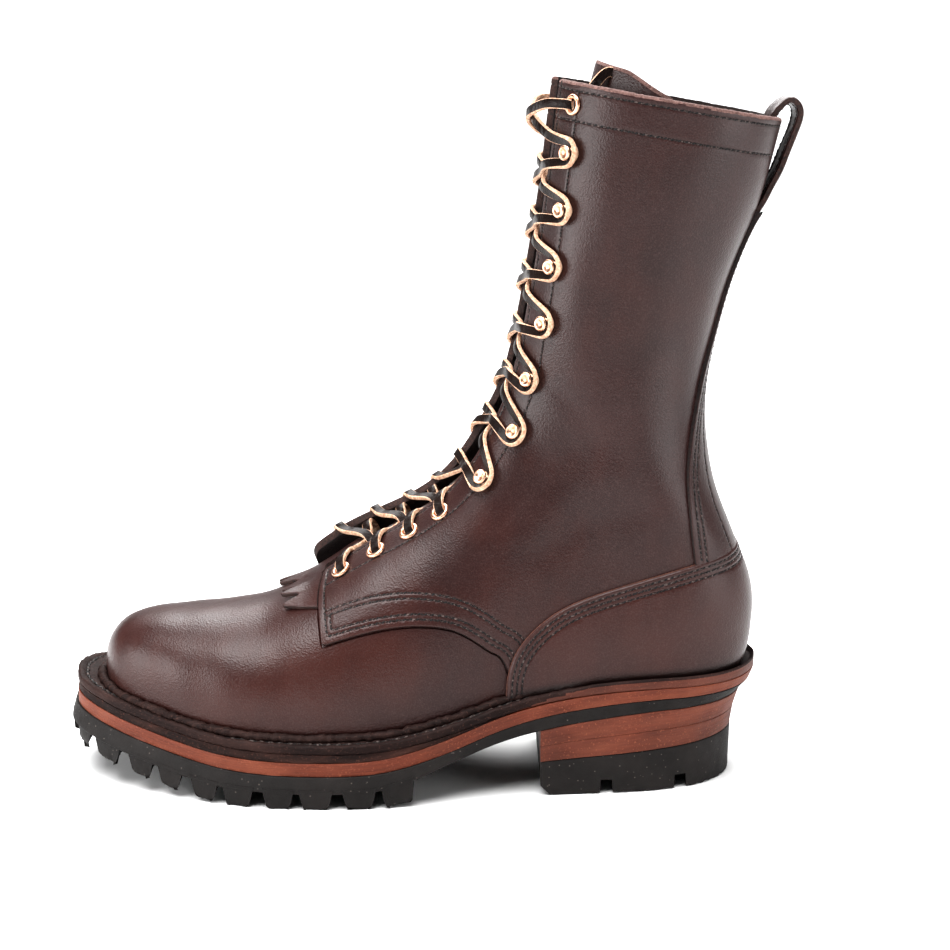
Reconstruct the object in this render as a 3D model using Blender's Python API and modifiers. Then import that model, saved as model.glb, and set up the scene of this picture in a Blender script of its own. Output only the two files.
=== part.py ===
"""Left lace-up work boot with a lugged sole and a stacked heel, built layer by layer.

Sizes are millimetres in the boot's own layout: x runs along the foot with the toe at -X, y across it
with the outer side at -Y, and z up from the floor. place() moves a layout point to the scene, in metres,
with the origin on the floor under the middle of the boot.
"""
import math

import bmesh
import bpy
from mathutils import Vector

MM = 0.001
ORIGIN_SHIFT = (22.05, 3.9, 0.0)     # layout to scene, so that the boot's box is centred over the origin

# Leather and fits
GAP = 0.3                 # clearance between pieces that meet
UPPER_WALL = 1.7          # vamp wall, inwards from the base form
QUARTER_STEP = 1.5        # quarters and shaft stand this much outside the vamp
OVERLAY_IN = QUARTER_STEP + GAP
OVERLAY_OUT = OVERLAY_IN + 2.0      # counter and backstay leather
TONGUE_DEPTH = UPPER_WALL + 1.7     # the tongue lies this far under the base form, clear of the wall's facets
TONGUE_WALL = 1.8
KILTIE_WALL = 1.6
INSOLE_THICK = 4.0

# Collar line in the side view, front to back
COLLAR_FRONT = (35.2, 313.4)
COLLAR_BACK = (133.5, 296.0)

# Throat opening, to each side of the instep line
THROAT = [
    # section, outer, inner
    (9.2, 9.0, 8.5), (13.0, 10.0, 9.5), (17.0, 12.0, 11.5), (26.0, 15.5, 15.0), (34.6, 20.0, 19.5),
]
THROAT_DEPTH = 16.0       # cutter below and above the ridge
THROAT_PROUD = 10.0
PARTING = (8.0, 9.9)      # sections where the quarters part, in front of the throat
PARTING_INSET = 0.4       # and how much narrower than the throat
THROAT_STEPS_PER_SECTION = 0.7

# Tongue: stations up the throat, its half width there and how far it leans back from the quarters
TONGUE = [
    # section, half width, lean
    (8.9, 19.0, 0.0), (13.0, 21.0, 0.0), (18.0, 23.0, 0.5), (26.0, 27.0, 2.0), (31.0, 33.0, 6.0),
    (34.5, 47.0, 14.0),
]
TONGUE_ROWS = 14
TONGUE_COLUMNS = 6
TONGUE_SHOULDER = 0.2    # its top falls this many sections towards the sides
TONGUE_WALL_SIDE = -1.0   # the sheet thickens inwards

# Fan sections of the upper, toe to top. seat_x, seat_z: lowest or rearmost point. top_x, top_z: ridge or
# front point. outer, inner: widest y on each side. mid: y of the ridge. wide: height of the widest point as a
# part of the section. foot: width at the seat as a part of the widest. round: roundness of the ridge side.
SECTIONS = [
    # seat_x, seat_z, top_x, top_z, outer, inner, mid, wide, foot, round
    (-169.3, 36.0, -169.3, 56.0, 1.0, 13.0, 7.0, 0.40, 0.90, 2.6),
    (-167.0, 34.0, -167.0, 61.5, -9.0, 20.5, 6.0, 0.38, 0.92, 2.6),
    (-162.0, 31.5, -162.0, 67.0, -18.0, 28.0, 5.0, 0.38, 0.93, 2.6),
    (-154.0, 28.5, -154.0, 70.8, -25.5, 34.0, 4.0, 0.38, 0.94, 2.6),
    (-143.0, 25.5, -143.0, 73.2, -32.5, 38.5, 3.0, 0.38, 0.95, 2.6),
    (-129.0, 23.0, -129.0, 74.8, -39.5, 41.5, 2.5, 0.38, 0.95, 2.5),
    (-113.0, 21.5, -113.0, 76.4, -45.5, 43.5, 2.0, 0.36, 0.95, 2.4),
    (-97.0, 21.0, -97.0, 79.2, -49.5, 43.5, 2.0, 0.34, 0.95, 2.3),
    (-82.0, 21.0, -83.0, 84.8, -51.5, 42.5, 1.5, 0.32, 0.95, 2.2),
    (-67.0, 21.0, -69.0, 93.2, -52.0, 40.5, 1.0, 0.30, 0.95, 2.1),
    (-52.0, 21.2, -55.0, 102.8, -51.0, 37.5, 0.5, 0.28, 0.95, 2.1),
    (-37.0, 22.0, -41.0, 111.6, -49.5, 34.5, 0.0, 0.27, 0.94, 2.1),
    (-22.0, 23.5, -27.0, 120.5, -47.0, 32.0, 0.0, 0.26, 0.93, 2.1),
    (-7.0, 26.0, -14.0, 130.0, -44.0, 31.0, 0.0, 0.26, 0.92, 2.2),
    (9.0, 31.5, -5.0, 139.5, -41.0, 31.0, 0.0, 0.27, 0.92, 2.3),
    (26.0, 37.0, 1.0, 148.5, -38.5, 32.0, 0.0, 0.29, 0.92, 2.4),
    (44.0, 41.0, 5.3, 157.0, -37.0, 33.0, 0.0, 0.32, 0.92, 2.4),
    (63.0, 43.5, 8.5, 165.0, -36.0, 34.0, 0.0, 0.35, 0.92, 2.4),
    (82.0, 45.0, 11.0, 172.0, -35.5, 34.5, 0.0, 0.38, 0.92, 2.4),
    (99.0, 46.0, 13.0, 178.5, -35.5, 34.8, 0.0, 0.41, 0.84, 2.4),
    (112.0, 48.5, 14.5, 184.0, -36.0, 35.2, 0.0, 0.44, 0.58, 2.4),
    (119.5, 59.0, 15.8, 189.0, -36.3, 35.6, 0.0, 0.46, 0.30, 2.4),
    (121.8, 76.0, 17.0, 194.0, -36.6, 36.0, 0.0, 0.48, 0.14, 2.4),
    (119.2, 95.0, 18.2, 199.0, -36.9, 36.2, 0.0, 0.49, 0.12, 2.3),
    (112.8, 111.5, 19.2, 204.0, -37.1, 36.4, 0.0, 0.50, 0.12, 2.3),
    (105.8, 129.0, 20.3, 209.5, -37.4, 36.6, 0.0, 0.50, 0.12, 2.3),
    (101.2, 148.0, 21.5, 216.0, -37.8, 37.0, 0.0, 0.50, 0.12, 2.3),
    (99.3, 167.0, 23.0, 224.0, -38.3, 37.6, 0.0, 0.50, 0.12, 2.3),
    (100.5, 187.0, 24.7, 234.0, -39.2, 38.5, 0.0, 0.50, 0.12, 2.3),
    (104.4, 206.0, 26.5, 246.0, -40.6, 39.8, 0.0, 0.50, 0.12, 2.3),
    (109.6, 225.0, 28.3, 259.0, -42.4, 41.4, 0.0, 0.50, 0.12, 2.3),
    (116.0, 243.0, 30.0, 272.0, -44.3, 43.2, 0.0, 0.50, 0.12, 2.3),
    (122.8, 261.0, 31.5, 285.0, -46.0, 45.0, 0.0, 0.50, 0.12, 2.3),
    (128.2, 280.0, 33.0, 299.0, -47.3, 46.4, 0.0, 0.50, 0.12, 2.3),
    (132.6, 299.0, 34.5, 314.0, -48.2, 47.4, 0.0, 0.50, 0.12, 2.3),
    (137.0, 318.0, 36.0, 330.0, -49.0, 48.2, 0.0, 0.50, 0.12, 2.3),
]
SEAT_X, SEAT_Z, TOP_X, TOP_Z, OUTER, INNER, MID, WIDE, FOOT, ROUND = range(10)
FORM_STATIONS = [*range(28), 29, 31, 33, 35]   # sections that the solids use, fewer up the straight shaft
LOWER_STEPS = 3           # facets from the seat to the widest point
UPPER_STEPS = 6           # facets from the widest point to the ridge

# Panel edges in the side view, x and z
QUARTER_EDGE = [(-57.0, 125.0), (-60.0, 108.0), (-66.0, 97.0), (-69.0, 86.0), (-66.7, 69.0), (-52.0, 73.6),
                (-37.4, 76.8), (-22.5, 77.6), (-8.0, 75.0), (6.0, 66.0), (14.0, 58.0), (24.0, 20.0)]
VAMP_OVERLAP = 1.3        # the two sides' vamp outlines share this much past the middle
INNER_QUARTER_FORWARD = 11.0   # the inner quarter's front edge lies further forward,
INNER_FORWARD_OVER = 50.0      # reached over this run from x = 0
COUNTER_EDGE = [(12.5, 30.0), (13.4, 44.0), (14.4, 55.0), (18.4, 65.6), (28.5, 77.0), (42.7, 86.0),
                (67.5, 94.8), (94.0, 102.5), (118.0, 107.0), (140.0, 110.0)]
# Half width of the backstay at heights up the back
BACKSTAY = [(108.0, 33.0), (125.0, 30.0), (145.0, 27.0), (160.0, 23.5), (178.0, 18.0), (200.0, 13.5),
            (230.0, 11.5), (256.5, 10.5)]
BACKSTAY_FRONT_X = 60.0   # its cutter starts behind here
BACKSTAY_LIFT = 0.5       # above the counter's edge

# Fringed tongue over the vamp, in plan
KILTIE_TIP_X = -86.5      # strip tips on the outer side
KILTIE_TIP_SWEEP = 0.25   # they run forward towards the inner side
KILTIE_HALF = 28.5
KILTIE_STRIPS = 7
KILTIE_CUT_LONG = 9.0
KILTIE_CUT_HALF = 3.4
KILTIE_ROOT = [(-62.0, 27.0), (-62.0, 7.0), (-26.0, 7.0), (-26.0, -7.0), (-58.0, -7.0), (-58.0, -38.0)]
KILTIE_CLEAR = 0.6        # to the quarters' front edges
KILTIE_THROAT_HALF = 7.0
KILTIE_LOW_Z = 60.0       # its shell is dropped below this height

# Plan outline of the midsole, toe to heel rim
OUTLINE = [
    # x, outer, inner
    (-183.5, 6.0, 15.0), (-181.5, -5.5, 26.0), (-176.5, -15.0, 34.0), (-168.0, -24.0, 40.5),
    (-156.0, -32.8, 46.0), (-141.0, -40.8, 50.0), (-124.0, -48.6, 52.3), (-106.0, -55.2, 53.0),
    (-88.0, -59.2, 52.4), (-70.0, -60.8, 50.4), (-52.0, -60.4, 47.0), (-34.0, -58.2, 42.8),
    (-16.0, -54.6, 39.2), (2.0, -50.6, 37.0), (20.0, -46.8, 36.8), (40.0, -43.6, 38.0),
    (60.0, -42.0, 39.6), (80.0, -41.4, 40.2), (97.0, -39.4, 38.6), (110.0, -34.0, 33.6),
    (119.5, -25.0, 24.8), (125.5, -13.5, 13.4), (127.6, -4.0, 4.0),
]
END_CLEAR = 0.2           # rows nearer than this to an end are skipped
# Heights of the sole's layers along the foot
LEVELS = [
    # x, welt top, midsole top, midsole bottom, outsole bottom, tread
    (-190.0, 47.5, 39.5, 33.5, 25.0, 17.0), (-168.0, 41.6, 33.6, 27.6, 19.6, 11.6),
    (-150.0, 37.2, 29.2, 23.2, 15.4, 7.6), (-130.0, 32.8, 24.8, 18.8, 11.0, 3.2),
    (-112.0, 29.8, 21.8, 15.8, 8.2, 0.5), (-92.0, 28.4, 20.4, 14.4, 7.2, 0.0),
    (-60.0, 28.0, 20.2, 14.2, 7.0, 0.0), (-42.0, 28.8, 21.2, 15.2, 8.0, 0.0),
    (-27.0, 31.0, 24.2, 18.2, 12.0, 3.0), (-10.0, 35.2, 29.4, 23.4, 18.0, 9.0),
    (10.0, 41.3, 36.8, 30.9, 25.4, 17.0),
    (28.0, 45.8, 41.6, 35.8, 29.8, 21.6), (50.0, 49.3, 45.2, 39.6, 33.6, 26.0),
    (75.0, 51.6, 47.6, 42.6, 36.8, 29.2), (96.0, 52.6, 48.6, 43.8, 38.0, 30.6),
    (130.0, 54.0, 50.0, 45.4, 39.6, 32.2),
]
WELT_TOP, MID_TOP, MID_BOTTOM, RUBBER_BOTTOM, TREAD = range(1, 6)
WELT_THICK = 4.0
SLIP_END_X = 14.0

# Heel: a vertical breast, lifts that taper in towards the floor, most at the back
BREAST_X = 29.0
TOP_LIFT_FRONT = 15.8
TOP_LIFT_SLOPE = 0.07
STACK_SPLIT = 0.5         # the two leather lifts part here
TAPER_FROM_X = 55.0
TAPER_TO_X = 126.0
BACK_INSET = {"midsole": 1.6, "outsole_top": 2.0, "outsole_bottom": 6.5, "stack_mid": 9.0,
              "stack_bottom": 10.4, "floor": 11.0}
HEEL_NOTCH_X = (58.5, 92.0)
HEEL_NOTCH_WIDTHS = (5.0, 7.0)   # at its roof and at the floor
HEEL_NOTCH_HIGH = 6.5
HEEL_NOTCH_DEEP = 17.0           # from the side

# Forefoot tread
LUG_END_X = -27.0
LUG_NOTCH_X = (-173.0, -157.0, -142.0, -127.5, -112.0, -95.0, -78.0, -60.0, -42.0)
LUG_GROOVE_WIDTHS = (3.6, 7.5)   # at its roof and at the floor
LUG_ROOT = 2.0            # the lugs start this far up inside the outsole
LUG_BLOCK_DEPTH = 24.0    # edge lugs reach this far in
LUG_CENTRE_GAP = 6.0
LUG_FLARE = 3.0           # the rubber stands this far outside the midsole at the forefoot
FLARE_END_X = -5.0

# Fittings up each side of the throat: section and distance from the ridge
EYELETS = [(9.7, 20.5), (10.8, 20.3), (11.85, 19.5), (12.9, 19.9), (33.35, 31.5)]
HOOKS = [(15.2, 23.5), (18.15, 23.0), (21.9, 23.2), (26.2, 27.8), (28.45, 29.2), (30.25, 31.5), (32.0, 32.3)]
LOW_EYELETS = 4
EYELET_MIDDLE = 3.2       # radius of the ring's middle, and of its section
EYELET_THICK = 0.9
HOOK_PROFILE = [(3.2, 0.0), (1.7, 1.2), (1.7, 2.6), (3.5, 3.2), (2.8, 4.5)]   # radius, height
FITTING_SEAT = QUARTER_STEP + GAP
RING_FACETS = 8
HOOK_FACETS = 6

# Lace: a round cord, its loops round the fittings and its height over the base form
LACE_RADIUS = 1.4
LACE_HIGH = 5.2
HOOK_LOOP = 6.0
EYELET_LOOP = 2.6
LACE_CLEAR = 0.9          # to the eyelets, and a little more to the quarters under the hooks
EYELET_LACE_HIGH = FITTING_SEAT + 2 * EYELET_THICK + LACE_CLEAR + LACE_RADIUS
EYELET_BAR_HIGH = EYELET_LACE_HIGH + 2.0
HOOK_LACE_HIGH = QUARTER_STEP + 1.1 + LACE_RADIUS
EYELET_TURN = (-70, 0, 70)          # degrees round the fitting
HOOK_TURN = (-80, -27, 27, 80)

# Reach of the cutting forms past the boot
BELOW_FLOOR = -40.0
OUTSIDE = 20.0
WIDE_OUT = 120.0
FAR_UP = 420.0
FAR_BACK = 220.0
FAR_FRONT = -230.0

# Pull loop: centre line of the strap in the side view, outside foot to inside foot
LOOP_PATH = [(125.8, 259.5), (131.4, 271.0), (136.8, 284.0), (140.6, 295.0), (140.2, 301.0), (136.6, 303.9),
             (131.4, 301.8), (127.0, 297.4), (125.3, 290.5), (123.8, 284.0)]
LOOP_THICK = 3.0
LOOP_WIDTH = 20.0

COLOURS = {
    "leather": (0.062, 0.032, 0.027, 1.0),
    "edge": (0.046, 0.024, 0.018, 1.0),
    "stack": (0.26, 0.073, 0.034, 1.0),
    "rubber": (0.018, 0.015, 0.014, 1.0),
    "copper": (0.62, 0.30, 0.17, 1.0),
    "lace": (0.030, 0.018, 0.014, 1.0),
}


def place(x, y, z):
    """Scene position of a layout point."""
    return Vector((x + ORIGIN_SHIFT[0], y + ORIGIN_SHIFT[1], z + ORIGIN_SHIFT[2])) * MM


def blend(rows, u):
    """Row values at station u of a table, on a smooth curve through the rows."""
    last = len(rows) - 1
    i = min(max(int(math.floor(u)), 0), last - 1)
    t = u - i
    before, start, end, after = rows[max(i - 1, 0)], rows[i], rows[i + 1], rows[min(i + 2, last)]
    values = []
    for a, b, c, d in zip(before, start, end, after):
        values.append(b + 0.5 * t * (c - a + t * (2 * a - 5 * b + 4 * c - d + t * (3 * (b - c) + d - a))))
    return values


def station_at(rows, x):
    """Station of a table whose first column has the value x."""
    low, high = 0.0, len(rows) - 1.0
    for _ in range(40):
        half = (low + high) / 2
        if blend(rows, half)[0] < x:
            low = half
        else:
            high = half
    return (low + high) / 2


def level(x, column):
    """Height of one of the sole's levels at x."""
    return blend(LEVELS, station_at(LEVELS, x))[column]


def collection(name):
    group = bpy.data.collections.new(name)
    bpy.context.scene.collection.children.link(group)
    return group


def material(name, roughness, metallic=0.0):
    mat = bpy.data.materials.new(name)
    mat.use_nodes = True
    shader = mat.node_tree.nodes["Principled BSDF"]
    shader.inputs["Base Color"].default_value = COLOURS[name]
    shader.inputs["Roughness"].default_value = roughness
    shader.inputs["Metallic"].default_value = metallic
    return mat


def add_object(name, bm, mat=None):
    """New object from a bmesh in scene metres; without a material it is a hidden cutting form."""
    bmesh.ops.recalc_face_normals(bm, faces=bm.faces)
    mesh = bpy.data.meshes.new(name)
    bm.to_mesh(mesh)
    bm.free()
    obj = bpy.data.objects.new(name, mesh)
    if mat:
        mesh.materials.append(mat)
        PARTS.objects.link(obj)
    else:
        FORMS.objects.link(obj)
        obj.hide_render = True
        obj.display_type = "WIRE"
    return obj


def boolean(obj, operation, other):
    cut = obj.modifiers.new(other.name, "BOOLEAN")
    cut.operation = operation
    cut.object = other
    cut.solver = "EXACT"


def loft(rings, offset=0.0):
    """Closed mesh through rings of layout points, moved along its normals by offset."""
    bm = bmesh.new()
    loops = [[bm.verts.new(place(*point)) for point in ring] for ring in rings]
    count = len(loops[0])
    for near, far in zip(loops, loops[1:]):
        for i in range(count):
            j = (i + 1) % count
            bm.faces.new((near[i], near[j], far[j], far[i]))
    bm.faces.new(loops[0])
    bm.faces.new(loops[-1])
    bmesh.ops.recalc_face_normals(bm, faces=bm.faces)
    bmesh.ops.triangulate(bm, faces=bm.faces[:-2], quad_method="FIXED")
    if offset:
        bm.normal_update()
        moves = [(vert, vert.normal.copy()) for vert in bm.verts]
        for vert, normal in moves:
            vert.co += normal * offset * MM
    return bm


def section_frame(u):
    """Values, seat point and seat-to-top vector of a fan section."""
    row = blend(SECTIONS, u)
    seat = Vector((row[SEAT_X], 0.0, row[SEAT_Z]))
    rise = Vector((row[TOP_X], 0.0, row[TOP_Z])) - seat
    return row, seat, rise


def section_ring(u):
    """Closed ring of a fan section: seat middle, up the outer side, over the ridge, down the inner side."""
    row, seat, rise = section_frame(u)
    side = []
    for step in range(LOWER_STEPS, 0, -1):
        angle = math.pi / 2 * step / LOWER_STEPS
        part = row[FOOT] + (1 - row[FOOT]) * math.cos(angle)
        side.append((row[WIDE] * (1 - math.sin(angle)), part))
    for step in range(UPPER_STEPS):
        angle = math.pi / 2 * step / UPPER_STEPS
        height = row[WIDE] + (1 - row[WIDE]) * math.sin(angle) ** (2 / row[ROUND])
        side.append((height, math.cos(angle) ** (2 / row[ROUND])))
    ring = [seat + Vector((0, row[MID], 0))]
    for height, part in side:
        ring.append(seat + rise * height + Vector((0, row[MID] + (row[OUTER] - row[MID]) * part, 0)))
    ring.append(seat + rise + Vector((0, row[MID], 0)))
    for height, part in reversed(side):
        ring.append(seat + rise * height + Vector((0, row[MID] + (row[INNER] - row[MID]) * part, 0)))
    return ring


def upper_form(name, offset, mat=None):
    """The last's own form, grown or shrunk by offset."""
    return add_object(name, loft([section_ring(u) for u in FORM_STATIONS], offset), mat)


def ridge_point(u, across):
    """Point of the base form near the ridge, across to the outer (negative) or inner side, and its normal."""
    def at(section, shift):
        row, seat, rise = section_frame(section)
        reach = (row[OUTER] if shift < 0 else row[INNER]) - row[MID]
        part = abs(shift / reach)
        height = (1 - part ** row[ROUND]) ** (1 / row[ROUND])
        return seat + rise * (row[WIDE] + (1 - row[WIDE]) * height) + Vector((0, row[MID] + shift, 0))
    step = 0.05
    along = at(u + step, across) - at(u - step, across)
    over = at(u, across + step) - at(u, across - step)
    normal = along.cross(over).normalized()
    rise = section_frame(u)[2]
    if normal.dot(rise) < 0:
        normal.negate()
    return at(u, across), normal


def column_at(rows, value, column):
    """One column of a table at a value of its first column."""
    return blend(rows, station_at(rows, value))[column]


def throat_form(name, first, last, inset=0.0):
    """Band along the ridge, from one section to another, that cuts the throat open."""
    steps = math.ceil((last - first) * THROAT_STEPS_PER_SECTION)
    rings = []
    for i in range(steps + 1):
        u = first + (last - first) * i / steps
        row, seat, rise = section_frame(u)
        top, up = seat + rise, rise.normalized()
        left = Vector((0, row[MID] - column_at(THROAT, u, 1) + inset, 0))
        right = Vector((0, row[MID] + column_at(THROAT, u, 2) - inset, 0))
        high, low = top + up * THROAT_PROUD, top - up * THROAT_DEPTH
        rings.append([low + left, high + left, high + right, low + right])
    return add_object(name, loft(rings))


def bridge(bm, near, far):
    """Close two matching loops of vertices into a prism."""
    for i in range(len(near)):
        j = (i + 1) % len(near)
        bm.faces.new((near[i], near[j], far[j], far[i]))
    bm.faces.new(near)
    bm.faces.new(list(reversed(far)))


def side_prism(name, edge, closing, y_from, y_to, mat=None):
    """Prism across the boot over a side view outline: an edge and the points that close it."""
    bm = bmesh.new()
    flat = list(edge) + list(closing)
    near = [bm.verts.new(place(x, y_from, z)) for x, z in flat]
    far = [bm.verts.new(place(x, y_to, z)) for x, z in flat]
    bridge(bm, near, far)
    return add_object(name, bm, mat)


def rounded_edge(points, per_span=3):
    """A smooth curve through an edge's points."""
    spans = (len(points) - 1) * per_span
    return [tuple(blend(points, i / per_span)) for i in range(spans + 1)]


def outline_edges(stations, inset):
    """Outer and inner edge points of the sole's plan at each station, moved in by inset(x)."""
    step = 0.02
    pairs = []
    for u in stations:
        low, high = max(u - step, 0.0), min(u + step, len(OUTLINE) - 1.0)
        here, before, after = blend(OUTLINE, u), blend(OUTLINE, low), blend(OUTLINE, high)
        pair = []
        for column, sign in ((1, 1.0), (2, -1.0)):
            run = Vector((after[0] - before[0], after[column] - before[column])).normalized()
            inward = Vector((-run.y, run.x)) * sign
            pair.append(Vector((here[0], here[column])) + inward * inset(here[0]))
        pairs.append(pair)
    return pairs


def ease(x, start, end):
    """Smooth step from 0 at start to 1 at end."""
    t = min(max((x - start) / (end - start), 0.0), 1.0)
    return t * t * (3 - 2 * t)


def heel_inset(name, flare=0.0):
    """Inset along the sole: the heel's taper at the named level, and a flare at the forefoot."""
    return lambda x: (BACK_INSET[name] * ease(x, TAPER_FROM_X, TAPER_TO_X)
                      - flare * (1 - ease(x, LUG_END_X, FLARE_END_X)))


def flush(x):
    return 0.0


def sole_layer(name, mat, stations, top, bottom, top_inset, bottom_inset):
    """Slab between two heights over the sole's plan, its side slanting between two insets."""
    rings = []
    upper_edges, lower_edges = outline_edges(stations, top_inset), outline_edges(stations, bottom_inset)
    for (outer_up, inner_up), (outer_low, inner_low) in zip(upper_edges, lower_edges):
        rings.append([
            (outer_low.x, outer_low.y, bottom(outer_low.x)), (outer_up.x, outer_up.y, top(outer_up.x)),
            (inner_up.x, inner_up.y, top(inner_up.x)), (inner_low.x, inner_low.y, bottom(inner_low.x)),
        ])
    return add_object(name, loft(rings), mat)


def stations_from(first, last):
    """Stations of the plan outline from first to last: the two ends and the rows well between them."""
    return [first] + [u for u in range(len(OUTLINE)) if first + END_CLEAR < u < last - END_CLEAR] + [last]


def notch(bm, x, widths, y_range, z_range):
    """Trapezoid groove across the sole, wider at the floor."""
    made = bmesh.ops.create_cube(bm, size=1.0)["verts"]
    for vert in made:
        high = vert.co.z > 0
        half = widths[0 if high else 1] / 2
        vert.co = place(x + math.copysign(half, vert.co.x), y_range[int(vert.co.y > 0)], z_range[int(high)])


def build_sole(mats):
    full = stations_from(0.0, len(OUTLINE) - 1.0)
    slip = stations_from(0.0, station_at(OUTLINE, SLIP_END_X))
    heel = stations_from(station_at(OUTLINE, BREAST_X), full[-1])
    half = GAP / 2

    def welt_bottom(x):
        return level(x, WELT_TOP) - WELT_THICK

    def lift_top(x):
        return TOP_LIFT_FRONT + TOP_LIFT_SLOPE * (x - BREAST_X)

    def stack_split(x):
        return lift_top(x) + STACK_SPLIT * (level(x, RUBBER_BOTTOM) - lift_top(x))

    sole_layer("welt", mats["edge"], full, lambda x: level(x, WELT_TOP), welt_bottom, flush, flush)
    sole_layer("slip_sole", mats["edge"], slip, lambda x: welt_bottom(x) - GAP,
               lambda x: level(x, MID_TOP) + half, flush, flush)
    sole_layer("midsole", mats["stack"], full, lambda x: level(x, MID_TOP) - half,
               lambda x: level(x, MID_BOTTOM) + half, flush, heel_inset("midsole"))

    outsole = sole_layer("outsole", mats["rubber"], full, lambda x: level(x, MID_BOTTOM) - half,
                         lambda x: level(x, RUBBER_BOTTOM) + half, heel_inset("outsole_top", LUG_FLARE / 3),
                         heel_inset("outsole_bottom", LUG_FLARE))
    lugs = sole_layer("lugs", None, stations_from(0.0, station_at(OUTLINE, LUG_END_X)),
                      lambda x: level(x, RUBBER_BOTTOM) + LUG_ROOT, lambda x: max(level(x, TREAD), 0.0),
                      heel_inset("outsole_top", LUG_FLARE), heel_inset("outsole_top", LUG_FLARE))
    boolean(outsole, "UNION", lugs)
    edge_grooves, cross_grooves = bmesh.new(), bmesh.new()
    for i, x in enumerate(LUG_NOTCH_X):
        outer, inner = outline_edges([station_at(OUTLINE, x)], flush)[0]
        depths = (level(x, RUBBER_BOTTOM), BELOW_FLOOR)
        block = min(LUG_BLOCK_DEPTH, (inner.y - outer.y) / 2 - LUG_CENTRE_GAP)
        notch(edge_grooves, x, LUG_GROOVE_WIDTHS, (outer.y - OUTSIDE, outer.y + block), depths)
        notch(edge_grooves, x, LUG_GROOVE_WIDTHS, (inner.y - block, inner.y + OUTSIDE), depths)
        if i:
            middle = (x + LUG_NOTCH_X[i - 1]) / 2
            reach = block + LUG_CENTRE_GAP
            notch(cross_grooves, middle, LUG_GROOVE_WIDTHS, (outer.y + reach, inner.y - reach), depths)
    boolean(outsole, "DIFFERENCE", add_object("edge_grooves", edge_grooves))
    boolean(outsole, "DIFFERENCE", add_object("cross_grooves", cross_grooves))

    sole_layer("heel_lift_1", mats["stack"], heel, lambda x: level(x, RUBBER_BOTTOM) - half,
               lambda x: stack_split(x) + half, heel_inset("outsole_bottom"), heel_inset("stack_mid"))
    sole_layer("heel_lift_2", mats["stack"], heel, lambda x: stack_split(x) - half,
               lambda x: lift_top(x) + half, heel_inset("stack_mid"), heel_inset("stack_bottom"))
    lift = sole_layer("heel_top_lift", mats["rubber"], heel, lambda x: lift_top(x) - half, flush,
                      heel_inset("stack_bottom"), heel_inset("floor"))
    heel_grooves = bmesh.new()
    for x in HEEL_NOTCH_X:
        outer, inner = outline_edges([station_at(OUTLINE, x)], heel_inset("floor"))[0]
        outer_side = (outer.y - OUTSIDE, outer.y + HEEL_NOTCH_DEEP)
        inner_side = (inner.y - HEEL_NOTCH_DEEP, inner.y + OUTSIDE)
        for y_range in (outer_side, inner_side):
            notch(heel_grooves, x, HEEL_NOTCH_WIDTHS, y_range, (HEEL_NOTCH_HIGH, BELOW_FLOOR))
    boolean(lift, "DIFFERENCE", add_object("heel_grooves", heel_grooves))


def sole_rings(rise):
    """Cross-boot lines at each level station, at the welt's top raised by rise."""
    rows = [(FAR_FRONT, LEVELS[0][WELT_TOP])] + [(row[0], row[WELT_TOP]) for row in LEVELS]
    rows.append((FAR_BACK, LEVELS[-1][WELT_TOP]))
    return [(x, z + rise) for x, z in rows]


def slab(name, line, far_z):
    """Form that fills all the space from a line along the boot to a far height."""
    rings = []
    for x, z in line:
        rings.append([(x, -WIDE_OUT, z), (x, -WIDE_OUT, far_z), (x, WIDE_OUT, far_z), (x, WIDE_OUT, z)])
    return add_object(name, loft(rings))


def shell(name, low, high, mat):
    """The space between two offsets of the last's form."""
    obj = upper_form(name, high, mat)
    boolean(obj, "DIFFERENCE", upper_form(name + "_space", low))
    return obj


def quarter_line(side, forward=0.0):
    """Front and lower edge of a quarter in the side view, moved forward."""
    line = rounded_edge(QUARTER_EDGE, 2)
    if side == "inner":
        line = [(x - INNER_QUARTER_FORWARD * ease(-x, 0.0, INNER_FORWARD_OVER), z) for x, z in line]
    return [(x - forward, z) for x, z in line]


def build_upper(mats, sole_space):
    """The upper's wall: vamp, quarters a step outside it, open below, at the throat and at the collar."""
    run = Vector(COLLAR_BACK) - Vector(COLLAR_FRONT)
    collar = [tuple(Vector(COLLAR_FRONT) - run), tuple(Vector(COLLAR_BACK) + run)]
    above_collar = side_prism("above_collar", collar, [(collar[1][0], FAR_UP), (collar[0][0], FAR_UP)],
                              -WIDE_OUT, WIDE_OUT)

    quarters = upper_form("quarters", QUARTER_STEP)
    for side, y_from, y_to in (("outer", -WIDE_OUT, VAMP_OVERLAP), ("inner", -VAMP_OVERLAP, WIDE_OUT)):
        line = quarter_line(side)
        closing = [(line[-1][0], BELOW_FLOOR), (FAR_FRONT, BELOW_FLOOR)]
        closing += [(FAR_FRONT, FAR_UP), (line[0][0], FAR_UP)]
        boolean(quarters, "DIFFERENCE", side_prism(side + "_vamp", line, closing, y_from, y_to))
    boolean(quarters, "DIFFERENCE", throat_form("between_quarters", *PARTING, PARTING_INSET))

    upper = upper_form("upper", 0.0, mats["leather"])
    boolean(upper, "UNION", quarters)
    boolean(upper, "DIFFERENCE", upper_form("cavity", -UPPER_WALL))
    boolean(upper, "DIFFERENCE", throat_form("throat", THROAT[0][0], THROAT[-1][0]))
    boolean(upper, "DIFFERENCE", sole_space)
    boolean(upper, "DIFFERENCE", above_collar)


def build_insole(mats, sole_space):
    insole = upper_form("insole", -UPPER_WALL - GAP, mats["edge"])
    boolean(insole, "DIFFERENCE", sole_space)
    boolean(insole, "DIFFERENCE", slab("above_insole", sole_rings(INSOLE_THICK), FAR_UP))


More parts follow.
